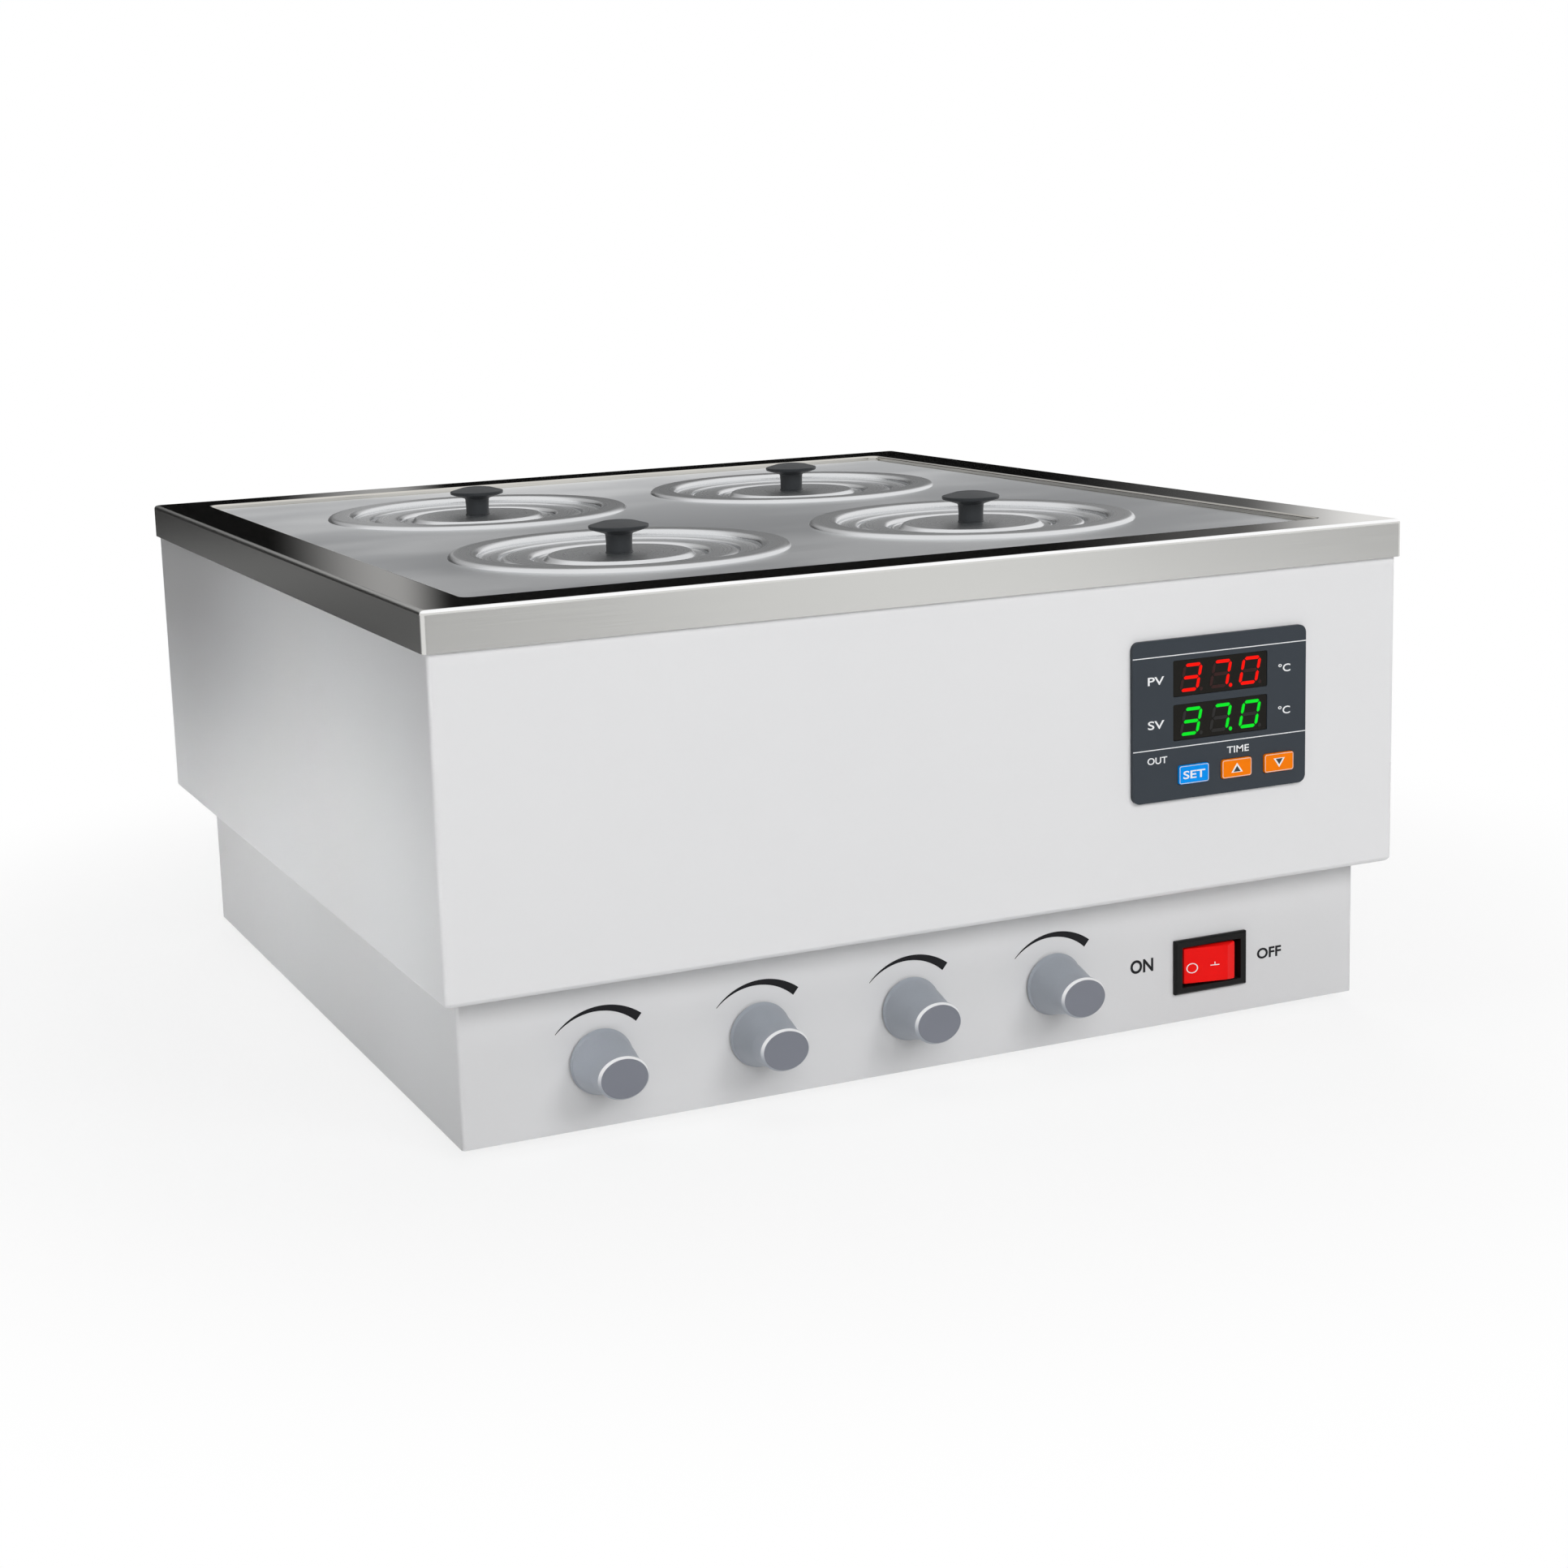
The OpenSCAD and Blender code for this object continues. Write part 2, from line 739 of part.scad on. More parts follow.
// Two screws through the casing floor into each motor
module motor_screws() {
    color("silver")
        at_motor_screws(casing_z + sheet_t) {
            cylinder(d = motor_screw_head_d, h = motor_screw_head_h);
            translate([0, 0, -motor_screw_l])
                cylinder(d = motor_screw_d, h = motor_screw_l + motor_screw_head_h / 2);
        }
}

// Disc on the motor's shaft with a magnet at each end of its bar
module stirring_rotor(p) {
    color("lightsteelblue")
        at_place(p, rotor_z)
            difference() {
                union() {
                    cylinder(d = 14, h = rotor_h);
                    linear_extrude(rotor_h - 0.8)
                        intersection() {
                            circle(d = carrier_d);
                            rounded_plan(carrier_d + 2, magnet_d + 8, 4);
                        }
                    translate([0, 0, casing_z - shaft_in_motor - rotor_z + run_gap])
                        cylinder(d = shaft_d, h = rotor_z - casing_z + shaft_in_motor);
                }
                for (sx = [-1, 1])
                    translate([sx * magnet_x, 0, 1])
                        cylinder(d = magnet_d, h = rotor_h);
            }
    color("dimgray")
        at_place(p, rotor_z + 1)
            for (sx = [-1, 1])
                translate([sx * magnet_x, 0, 0])
                    cylinder(d = magnet_d, h = rotor_h - 1);
}

function knob_x(i) = knob_x0 + (i - 1) * knob_pitch;

// Rotary controls behind the base's front wall, each with a threaded bushing
module speed_potentiometers() {
    color("steelblue")
        for (i = [1:4])
            difference() {
                union() {
                    rod_y(knob_x(i), base_front_y + sheet_t, control_level, pot_d, pot_t);
                    rod_y(knob_x(i), base_front_y - bushing_l, control_level, bushing_d,
                          bushing_l + sheet_t + pot_t / 2);
                    translate([knob_x(i) - pot_lug_w / 2, base_front_y + sheet_t + pot_t / 2,
                               control_level - pot_lug_drop])
                        cube([pot_lug_w, pot_lug_t, pot_lug_h]);
                }
                rod_y(knob_x(i), base_front_y - bushing_l - beyond, control_level,
                      shaft_d + 2 * run_gap, bushing_l + beyond + sheet_t + pot_t - 2);
            }
}

// Hexagon nuts that hold the rotary controls
module potentiometer_nuts() {
    color("silver")
        for (i = [1:4])
            difference() {
                hex_y(knob_x(i), base_front_y - pot_nut_t, control_level, pot_nut_d, pot_nut_t);
                rod_y(knob_x(i), base_front_y - pot_nut_t - beyond, control_level, bushing_d,
                      pot_nut_t + 2 * beyond);
            }
}

// Round shaft of a rotary control
module dial_shaft(i) {
    color("silver")
        rod_y(knob_x(i), base_front_y - shaft_l, control_level, shaft_d,
              shaft_l + sheet_t + pot_t - 3);
}

knob_bell = 9;

// Turned outline of a speed knob: a bell-shaped skirt that runs into a straight grip
module knob_outline() {
    length = knob_reach - knob_gap;
    flare = (knob_skirt_d - knob_grip_d) / 2;
    difference() {
        square([knob_skirt_d / 2, length]);
        translate([knob_grip_d / 2, knob_bell])
            square([knob_skirt_d, length]);
        translate([knob_skirt_d / 2 + knob_bell - flare - 1, knob_bell])
            circle(r = knob_bell - 1);
    }
}

// Speed knob: turned body with two side flats on its grip
module speed_knob(i) {
    color("lightslategray")
        translate([knob_x(i), base_front_y - knob_gap, control_level])
            rotate([90, 0, 0])
                difference() {
                    rotate_extrude()
                        knob_outline();
                    translate([0, 0, -beyond])
                        cylinder(d = nut_room_d, h = nut_room - knob_gap + beyond);
                    cylinder(d = shaft_d, h = shaft_l - knob_gap);
                    for (sx = [-1, 1])
                        translate([sx * (knob_grip_d / 2 + 3.6), 0, knob_bell + 10.5])
                            cube([8.8, knob_grip_d, 20], center = true);
                }
}

// Snap-in housing of the power switch with a hole for each trunnion
module rocker_housing() {
    color("black")
        difference() {
            union() {
                wall_plate(switch_x, base_front_y - bezel_t, switch_z, bezel_w, bezel_h, 0.8, bezel_t);
                wall_plate(switch_x, base_front_y - bezel_t / 2, switch_z, bezel_body_w,
                           bezel_body_h, 0.4, bezel_t / 2 + switch_depth);
            }
            translate([switch_x - pocket_w / 2, base_front_y - bezel_t - beyond,
                       switch_z - pocket_h / 2])
                cube([pocket_w, pocket_depth + beyond, pocket_h]);
            translate([switch_x, base_front_y + pivot_in, switch_z])
                cylinder(d = trunnion_d + 2 * run_gap,
                         h = pocket_h + 2 * (trunnion_l + run_gap), center = true);
        }
}

// Rocker with its trunnions, shown with its left end pressed in
module power_rocker() {
    color("red")
        translate([switch_x, base_front_y + pivot_in, switch_z])
            rotate([0, 0, -rocker_tilt]) {
                linear_extrude(rocker_h, center = true)
                    polygon([[-rocker_w / 2, -rocker_face], [rocker_w / 2, -rocker_face],
                             [rocker_w / 2, rocker_back - 2], [rocker_w / 5, rocker_back],
                             [-rocker_w / 5, rocker_back], [-rocker_w / 2, rocker_back - 2]]);
                cylinder(d = trunnion_d, h = pocket_h + 2 * trunnion_l, center = true);
            }
}

// Slate front panel with two display windows and three key holes
module panel_fascia() {
    color("darkslategray")
        difference() {
            wall_plate(panel_x, panel_front_y, panel_z, panel_w, panel_h, panel_r, panel_t);
            for (z = [pv_z, sv_z])
                wall_plate(panel_x, panel_front_y - beyond, z, display_w + 2 * key_gap,
                           display_h + 2 * key_gap, 0.6, panel_t + 2 * beyond);
            for (x = [up_key_x - key_pitch, up_key_x, up_key_x + key_pitch])
                wall_plate(x, panel_front_y - beyond, key_z, key_w + 2 * key_gap,
                           key_h + 2 * key_gap, 1, panel_t + 2 * beyond);
        }
}

// The two display blocks, one above the other
module led_displays() {
    color("black")
        for (z = [pv_z, sv_z])
            wall_plate(panel_x, panel_front_y + display_sunk, z, display_w, display_h, 0.5, display_t);
}

// Moulded case behind the panel, with pockets for the displays and for the keys' flanges
module controller_case() {
    color("dimgray")
        difference() {
            wall_plate(panel_x, casing_front_y, panel_z, case_w, case_h, 0.8, sheet_t + case_depth);
            for (z = [pv_z, sv_z])
                wall_plate(panel_x, casing_front_y - beyond, z, display_w + 2 * key_gap,
                           display_h + 2 * key_gap, 0.6,
                           beyond + display_t + display_sunk - panel_t);
            wall_plate(up_key_x, casing_front_y - beyond, key_z,
                       2 * key_pitch + key_w + 2 * key_flange + 2 * key_gap,
                       key_h + 2 * key_flange + 2 * key_gap, 0.5, beyond + key_room);
        }
}

// A key cap with the flange that keeps it behind the panel
module panel_key(x) {
    wall_plate(x, panel_front_y - key_proud, key_z, key_w, key_h, 0.9, key_proud + panel_t + 0.1);
    wall_plate(x, casing_front_y, key_z, key_w + 2 * key_flange, key_h + 2 * key_flange, 0.5,
               key_flange_t);
}

transformer = [40, 34, 28];
transformer_y = 20;
relay = [26, 18, 16];
relay_x = -38;
relay_y = -8;
driver_d = 6.5;
driver_h = 12;
driver_pitch = 8;
driver_x = 6;
driver_y = -12;
fin = [2, 20, 22];
fin_count = 7;
fin_pitch = 8;
fin_y = -46;

// Board with the mains transformer, the motor drivers and the heater's relay
module driver_board() {
    top = board_z + board_t;
    color("seagreen")
        translate([-board_w / 2, base_y - board_d / 2, board_z])
            cube([board_w, board_d, board_t]);
    color("dimgray")
        translate([-transformer[0] / 2, base_y + transformer_y, top])
            cube(transformer);
    color("black") {
        translate([relay_x, base_y + relay_y, top])
            cube(relay);
        for (i = [0:3])
            translate([driver_x + i * driver_pitch, base_y + driver_y, top])
                cylinder(d = driver_d, h = driver_h, $fn = 24);
    }
    color("silver")
        for (i = [0:fin_count - 1])
            translate([(i - fin_count / 2) * fin_pitch, base_y + fin_y, top])
                cube(fin);
}

// Snap-in mains inlet with a fuse drawer beside the socket
module power_inlet() {
    flange_y = base_back_y;
    mouth_y = flange_y + inlet_flange_t;
    color("black") {
        difference() {
            union() {
                wall_plate(inlet_x, flange_y, inlet_z, inlet_w, inlet_h, 3, inlet_flange_t);
                wall_plate(inlet_x, flange_y - inlet_body_depth, inlet_z, inlet_body_w,
                           inlet_body_h, 1, inlet_body_depth + inlet_flange_t / 2);
            }
            wall_plate(socket_x, mouth_y - socket_depth, inlet_z, socket_w, socket_h, 3,
                       socket_depth + beyond);
            wall_plate(fuse_x, mouth_y - fuse_recess, inlet_z, fuse_w + 1, fuse_h + 1, 1,
                       fuse_recess + beyond);
        }
        wall_plate(fuse_x, mouth_y - fuse_recess, inlet_z, fuse_w, fuse_h, 1,
                   fuse_recess + fuse_proud);
    }
    color("gold")
        for (i = [-1:1])
            translate([socket_x + i * pin_pitch - pin_t / 2, mouth_y - socket_depth,
                       inlet_z + (i == 0 ? pin_rise : -pin_rise) - pin_w / 2])
                cube([pin_t, pin_l, pin_w]);
}

// Loose steel plate with a hole for each place
module cover_plate() {
    color("lightgray")
        difference() {
            slab(recess_w - 2 * plate_gap, recess_d - 2 * plate_gap, recess_r - plate_gap, ledge_z,
                 plate_z);
            at_places(ledge_z - beyond)
                cylinder(r = ring_r - outer_crown_w + ring_t + ring_gap, h = sheet_t + 2 * beyond);
        }
}

// Cross-section of a ring's rounded crown, as a bent strip that rises from its two feet
module crown(w) {
    arc_r = (w * w / 4 + crown_rise * crown_rise) / (2 * crown_rise);
    intersection() {
        translate([0, crown_rise - arc_r])
            difference() {
                circle(arc_r, $fn = 96);
                circle(arc_r - ring_t, $fn = 96);
            }
        translate([-w / 2, 0])
            square([w, crown_rise + beyond]);
    }
}

// Pressed ring: a crown, a locating step inside it and the ledge for the next piece
module pressed_ring(r, crown_w, hole_r) {
    wall_r = r - crown_w;
    rotate_extrude($fn = 128) {
        translate([r - crown_w / 2, 0])
            crown(crown_w);
        translate([wall_r, -step_h])
            square([ring_t, step_h + ring_t / 3]);
        translate([hole_r, -step_h])
            square([wall_r - hole_r + ring_t / 2, ring_t]);
    }
}

module outer_ring(p) {
    color("silver")
        at_place(p, plate_z)
            pressed_ring(ring_r, outer_crown_w, middle_ring_r - middle_crown_w + ring_t + ring_gap);
}

module middle_ring(p) {
    color("silver")
        at_place(p, middle_z)
            pressed_ring(middle_ring_r, middle_crown_w,
                         inner_ring_r - inner_crown_w + ring_t + ring_gap);
}

module inner_ring(p) {
    color("silver")
        at_place(p, inner_z)
            pressed_ring(inner_ring_r, inner_crown_w, lid_lip_r + ring_gap);
}

// Round lid with a rolled edge and a locating lip below
module lid(p) {
    color("darkgray")
        at_place(p, lid_z)
            difference() {
                rotate_extrude($fn = 96) {
                    square([lid_r - ring_t / 2, ring_t]);
                    translate([lid_r - ring_t, ring_t * 0.6])
                        circle(ring_t * 0.6, $fn = 24);
                    translate([lid_lip_r - ring_t, -lid_lip_h])
                        square([ring_t, lid_lip_h + ring_t / 2]);
                }
                translate([0, 0, -beyond])
                    cylinder(d = lid_stud_d, h = ring_t + 2 * beyond);
            }
}

lid_cap_edge = 2.4;

// Mushroom knob with its stud and nut
module lid_knob(p) {
    cap_r = lid_knob_d / 2;
    stem_r = lid_stem_d / 2;
    dome = 1.6;
    dome_r = (cap_r * cap_r + dome * dome) / (2 * dome);
    under = lid_knob_h - lid_cap_edge - dome;
    throat = 2.4;
    color("dimgray")
        at_place(p, lid_z + ring_t)
            rotate_extrude() {
                square([stem_r, lid_knob_h - dome]);
                difference() {
                    translate([0, under - throat])
                        square([stem_r + throat, throat + 0.5]);
                    translate([stem_r + throat, under - throat])
                        circle(throat, $fn = 32);
                }
                translate([0, under])
                    square([cap_r, lid_cap_edge]);
                intersection() {
                    translate([0, lid_knob_h - dome_r])
                        circle(dome_r, $fn = 128);
                    translate([0, lid_knob_h - dome])
                        square([cap_r, dome]);
                }
                translate([0, -ring_t - lid_nut_h - 1])
                    square([lid_stud_d / 2, ring_t + lid_nut_h + 2]);
            }
    color("silver")
        at_place(p, lid_z - lid_nut_h)
            difference() {
                cylinder(d = lid_nut_d, h = lid_nut_h, $fn = 6);
                translate([0, 0, -beyond])
                    cylinder(d = lid_stud_d, h = lid_nut_h + 2 * beyond);
            }
}

upper_casing();
base_casing();
bottom_plate();
rubber_feet();
casing_screws();
tank();
rim_gasket();
insulation_jacket();
heating_element();
tank_glands();
temperature_probe();
perforated_shelf();
stirrer_motors();
motor_screws();
speed_potentiometers();
potentiometer_nuts();
driver_board();
panel_fascia();
led_displays();
controller_case();
rocker_housing();
power_inlet();
cover_plate();
outer_ring(places[0]);  // outer_ring_front_left
outer_ring(places[1]);  // outer_ring_front_right
outer_ring(places[2]);  // outer_ring_back_left
outer_ring(places[3]);  // outer_ring_back_right
middle_ring(places[0]);  // middle_ring_front_left
middle_ring(places[1]);  // middle_ring_front_right
middle_ring(places[2]);  // middle_ring_back_left
middle_ring(places[3]);  // middle_ring_back_right
inner_ring(places[0]);  // inner_ring_front_left
inner_ring(places[1]);  // inner_ring_front_right
inner_ring(places[2]);  // inner_ring_back_left
inner_ring(places[3]);  // inner_ring_back_right
lid(places[0]);  // lid_front_left
lid(places[1]);  // lid_front_right
lid(places[2]);  // lid_back_left
lid(places[3]);  // lid_back_right
lid_knob(places[0]);  // lid_knob_front_left
lid_knob(places[1]);  // lid_knob_front_right
lid_knob(places[2]);  // lid_knob_back_left
lid_knob(places[3]);  // lid_knob_back_right
speed_knob(1);  // speed_knob_1
speed_knob(2);  // speed_knob_2
speed_knob(3);  // speed_knob_3
speed_knob(4);  // speed_knob_4
dial_shaft(1);  // dial_shaft_1
dial_shaft(2);  // dial_shaft_2
dial_shaft(3);  // dial_shaft_3
dial_shaft(4);  // dial_shaft_4
power_rocker();
color("dodgerblue") panel_key(up_key_x - key_pitch);  // set_key
color("darkorange") panel_key(up_key_x);  // up_key
color("darkorange") panel_key(up_key_x + key_pitch);  // down_key
stirring_rotor(places[0]);  // stirring_rotor_front_left
stirring_rotor(places[1]);  // stirring_rotor_front_right
stirring_rotor(places[2]);  // stirring_rotor_back_left
stirring_rotor(places[3]);  // stirring_rotor_back_right
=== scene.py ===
"""Looks of the four-place stirring water bath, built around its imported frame.

+Z is up and -Y is the front, as in the frame. Lengths are in millimetres until a mesh, a lamp
or the camera is placed, which takes metres.
"""

import math

import bmesh
import bpy
import numpy as np
from mathutils import Matrix, Vector


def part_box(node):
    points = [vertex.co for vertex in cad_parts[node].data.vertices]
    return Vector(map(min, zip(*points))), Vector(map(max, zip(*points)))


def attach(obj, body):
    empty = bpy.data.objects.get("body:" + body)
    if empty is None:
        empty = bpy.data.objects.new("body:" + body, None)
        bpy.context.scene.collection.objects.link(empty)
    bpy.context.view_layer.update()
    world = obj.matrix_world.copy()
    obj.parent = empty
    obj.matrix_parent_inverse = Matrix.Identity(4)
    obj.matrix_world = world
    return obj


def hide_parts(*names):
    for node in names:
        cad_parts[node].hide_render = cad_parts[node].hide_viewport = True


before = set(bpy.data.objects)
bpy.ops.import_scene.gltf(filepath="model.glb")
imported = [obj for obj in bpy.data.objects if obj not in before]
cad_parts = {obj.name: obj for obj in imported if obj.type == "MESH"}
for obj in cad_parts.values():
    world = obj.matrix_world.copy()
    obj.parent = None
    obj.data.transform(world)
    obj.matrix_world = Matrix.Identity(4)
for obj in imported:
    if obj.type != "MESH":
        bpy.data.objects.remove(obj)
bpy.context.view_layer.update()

mm = 0.001
places = ("front_left", "front_right", "back_left", "back_right")

# Sizes that the frame's boxes don't give
sheet = 1.2
flange_width = 21
ledge_below_rim = 3.2
skirt_height = 14
wall_inset = 40
tank_corner = 12
floor_band = 30
lip_width = 12
ring_thickness = 1.0
ring_step = 2.2
ring_drop = ring_step - ring_thickness
seat_play = 0.6
crown_widths = {"outer_ring": 11.0, "middle_ring": 7.0, "inner_ring": 11.8}
crown_rises = {"outer_ring": 1.4, "middle_ring": 0.5, "inner_ring": 1.4}
lid_rise = 1.8
lid_lip_inset = 4
display_half = 6.5
stud_radius = 2.5
ink_height = 0.06
ink_sink = 0.03


# Shader maths

class Signal:
    """A node's output that takes part in sums: each sum on it adds its own Math node."""

    def __init__(self, finish, socket):
        self.finish = finish
        self.socket = socket

    def maths(self, operation, *values):
        """A Math node of this operation in the signal's own material."""
        return self.finish.maths(operation, *values)

    def __add__(self, other):
        return self.maths("ADD", self, other)

    def __radd__(self, other):
        return self.maths("ADD", other, self)

    def __sub__(self, other):
        return self.maths("SUBTRACT", self, other)

    def __rsub__(self, other):
        return self.maths("SUBTRACT", other, self)

    def __mul__(self, other):
        return self.maths("MULTIPLY", self, other)

    def __rmul__(self, other):
        return self.maths("MULTIPLY", other, self)

    def __abs__(self):
        return self.maths("ABSOLUTE", self)

    def __gt__(self, other):
        return self.maths("GREATER_THAN", self, other)

    def root(self):
        """Its square root."""
        return self.maths("SQRT", self)

    def ramp(self, low, high, start=0.0, end=1.0):
        """Runs smoothly from start at low to end at high, and stays there outside."""
        return self.finish.node("ShaderNodeMapRange", {"interpolation_type": "SMOOTHSTEP"},
                                (self, low, high, start, end))


class Finish:
    """A material under construction, with one method that adds any node."""

    def __init__(self, name, tree=None):
        self.material = None
        if tree is None:
            self.material = bpy.data.materials.new(name)
            self.material.use_nodes = True
            tree = self.material.node_tree
        self.tree = tree
        self.tree.nodes.clear()

    def node(self, kind, settings=None, inputs=(), output=0):
        """Adds a node: its settings first, then the values or links of its sockets."""
        made = self.tree.nodes.new(kind)
        for key, value in (settings or {}).items():
            setattr(made, key, value)
        pairs = inputs.items() if isinstance(inputs, dict) else enumerate(inputs)
        for key, value in pairs:
            if isinstance(value, Signal):
                self.tree.links.new(value.socket, made.inputs[key])
            else:
                made.inputs[key].default_value = value
        return Signal(self, made.outputs[output]) if made.outputs else None

    def maths(self, operation, *values):
        """A Math node on numbers or signals."""
        return self.node("ShaderNodeMath", {"operation": operation}, values)

    def place(self, scale=(1, 1, 1)):
        """Object coordinates, stretched along the axes."""
        coordinates = self.node("ShaderNodeTexCoord", output="Object")
        return self.node("ShaderNodeMapping", inputs={"Vector": coordinates, "Scale": scale})

    def along(self, axis):
        """One Object coordinate in metres: 0 for X, 1 for Y and 2 for Z."""
        coordinates = self.node("ShaderNodeTexCoord", output="Object")
        return self.node("ShaderNodeSeparateXYZ", inputs=(coordinates,), output=axis)

    def grain(self, scale, detail=2.0, rough=0.5, stretch=(1, 1, 1)):
        """Noise between 0 and 1; a small stretch makes its features long along that axis."""
        return self.node("ShaderNodeTexNoise", {"noise_dimensions": "3D"},
                         {"Vector": self.place(stretch), "Scale": scale, "Detail": detail,
                          "Roughness": rough})

    def mixed(self, factor, first, second):
        """A colour between two colours."""
        return self.node("ShaderNodeMix", {"data_type": "RGBA"}, {0: factor, 6: first, 7: second},
                         output=2)

    def bump(self, height, depth, strength=1.0):
        """Normal from a height between 0 and 1 that is worth depth millimetres."""
        return self.node("ShaderNodeBump", inputs={"Strength": strength, "Distance": depth * mm,
                                                    "Height": height})

    def surface(self, **inputs):
        """Principled surface; underscores in the names stand for spaces."""
        sockets = {key.replace("_", " "): value for key, value in inputs.items()}
        shader = self.node("ShaderNodeBsdfPrincipled", inputs=sockets)
        self.node("ShaderNodeOutputMaterial", inputs={"Surface": shader})
        return self.material


def tone(level, tint=(1.0, 1.0, 1.0)):
    """Opaque colour at a linear level, with a slight tint."""
    return (level * tint[0], level * tint[1], level * tint[2], 1.0)


def shades(colour, dark, light):
    """The darker and the lighter colour of a finish that is uneven."""
    return (tuple(c * dark for c in colour) + (1.0,),
            tuple(min(c * light, 1.0) for c in colour) + (1.0,))


def powder_coat(name, level):
    """Powder coat of a level: fine orange peel, and a faint drift of tone."""
    f = Finish(name)
    drift = f.grain(6, 2)
    peel = f.grain(900, 3, 0.55)
    colour = f.mixed(drift, tone(level, (0.994, 0.997, 1.012)), tone(level + 0.03, (0.997, 0.998, 1.006)))
    return f.surface(Base_Color=colour, Roughness=0.36 + peel * 0.10,
                     Normal=f.bump(peel, 0.02, 0.5))


def rim_steel():
    """Rim with a polished flange and a brushed skirt; the brushing is mitred at the corners, and a painted
    highlight lies along the front skirt's top bend.
    """
    f = Finish("brushed_rim_steel")
    x, y = abs(f.along(0)), abs(f.along(1) - rim_centre[1] * mm)
    across = (y - x) > ((rim_half[1] - rim_half[0]) * mm)
    skirt = f.maths("MAXIMUM", x - (rim_half[0] - 1.6) * mm, y - (rim_half[1] - 1.6) * mm) > 0.0
    fine_x = f.grain(1500, 3, 0.55, (0.012, 1, 1))
    fine_y = f.grain(1500, 3, 0.55, (1, 0.012, 1))
    lines = across * fine_x + (1 - across) * fine_y
    slow = f.grain(7, 2, 0.5)
    colour = f.mixed(lines * 0.35 + slow * 0.65, tone(0.63, (1.0, 0.996, 0.965)),
                     tone(0.73, (1.0, 0.997, 0.97)))
    colour = f.mixed(skirt, tone(0.62, (1.0, 0.97, 0.905)), colour)
    # Painted highlight: a near-white line along the top bend of the front skirt.
    painted_bend_highlight = skirt * (f.along(2) > ((rim_top - 0.9) * mm)) * (f.along(1) * -1.0 > -(rim_low[1] + 1.6) * mm)
    colour = f.mixed(painted_bend_highlight, colour, tone(0.97))
    return f.surface(Base_Color=colour, Metallic=1.0, Roughness=0.06 + skirt * 0.17 + lines * 0.04,
                     Normal=f.bump(lines * skirt, 0.004, 0.5))


def cover_steel():
    """Cold-rolled cover sheet: cloudy satin with rolling marks along X, and a painted reflection that
    makes it paler towards the back.
    """
    f = Finish("rolled_cover_steel")
    rolled = f.grain(500, 4, 0.6, (0.02, 1, 1))
    cloud = f.grain(8, 2, 0.5, (1, 1.6, 1)).ramp(0.36, 0.64)
    # Painted reflection: the colour turns paler towards the back; the same ramp also raises the roughness
    # there.
    drift = f.along(1).ramp(-0.08, 0.18)
    colour = f.mixed(cloud * 0.5 + rolled * 0.1 + drift * 0.4, tone(0.50, (0.975, 1.0, 1.03)),
                     tone(0.94, (0.99, 1.0, 1.01)))
    return f.surface(Base_Color=colour, Metallic=1.0, Roughness=0.32 + drift * 0.12 + rolled * 0.06,
                     Normal=f.bump(cloud, 0.5, 1.0))


def spun_steel(tag):
    """Spun steel of one place's rings and lid: fine circles round the place's centre."""
    f = Finish("spun_steel_" + tag)
    dx = f.along(0) - place_centre[tag][0] * mm
    dy = f.along(1) - place_centre[tag][1] * mm
    radius = (dx * dx + dy * dy).root()
    vector = f.node("ShaderNodeCombineXYZ", inputs=(radius, 0.0, 0.0))
    circles = f.node("ShaderNodeTexNoise", inputs={"Vector": vector, "Scale": 1400.0, "Detail": 3.0})
    cloud = f.grain(14, 3, 0.55)
    colour = f.mixed(circles * 0.4 + cloud * 0.6, tone(0.62, (0.985, 1.0, 1.02)),
                     tone(0.82, (0.99, 1.0, 1.01)))
    return f.surface(Base_Color=colour, Metallic=1.0, Roughness=0.24 + circles * 0.08,
                     Normal=f.bump(circles, 0.006, 0.4))


def moulded(name, colour, roughness, depth=0.02, scale=1200, gloss=0.25):
    """Moulded plastic or rubber: fine texture and a faint change of tone."""
    f = Finish(name)
    texture = f.grain(scale, 3, 0.6)
    cloud = f.grain(40, 2, 0.5)
    dark, light = shades(colour, 0.88, 1.1)
    return f.surface(Base_Color=f.mixed(cloud * 0.6 + texture * 0.4, dark, light),
                     Roughness=roughness + texture * 0.08, Specular_IOR_Level=gloss,
                     Normal=f.bump(texture, depth, 0.4))


def knob_plastic():
    """Blue-grey knob plastic: the cap is coloured darker than the sides as painted shade, and a painted
    highlight lies along the cap's upper edge.
    """
    f = Finish("blue_grey_knob")
    texture = f.grain(1200, 3, 0.6)
    cloud = f.grain(40, 2, 0.5)
    depth = f.along(1) - knob_low[1] * mm
    # Painted highlight: a pale band round the cap's chamfer, kept to its upper part, where light falls.
    upper = (f.along(2) - knob_axis * mm).ramp(-0.003, 0.004)
    edge = (1 - abs(depth - 0.00075).ramp(0.0004, 0.0006)) * (0.8 + cloud * 0.2) * upper
    body = f.mixed(cloud * 0.6 + texture * 0.4, tone(1.0, (0.31, 0.335, 0.375)),
                   tone(1.0, (0.38, 0.41, 0.455)))
    # Painted shade: the cap, which faces the front, is coloured darker than the knob's sides.
    cap = f.mixed(cloud, tone(1.0, (0.165, 0.175, 0.205)), tone(1.0, (0.19, 0.20, 0.235)))
    colour = f.mixed(depth > 0.0002, cap, body)
    return f.surface(Base_Color=f.mixed(edge, colour, tone(0.9)), Roughness=0.40 + texture * 0.08,
                     Normal=f.bump(texture, 0.02, 0.4))


def dull_metal(name, colour, roughness, scale=300, stretch=(1, 1, 1)):
    """Turned, plated or heat-tinted metal with a fine grain."""
    f = Finish(name)
    lines = f.grain(scale, 4, 0.6, stretch)
    dark, light = shades(colour, 0.8, 1.15)
    return f.surface(Base_Color=f.mixed(lines, dark, light), Metallic=1.0,
                     Roughness=roughness + lines * 0.12, Normal=f.bump(lines, 0.02, 0.4))


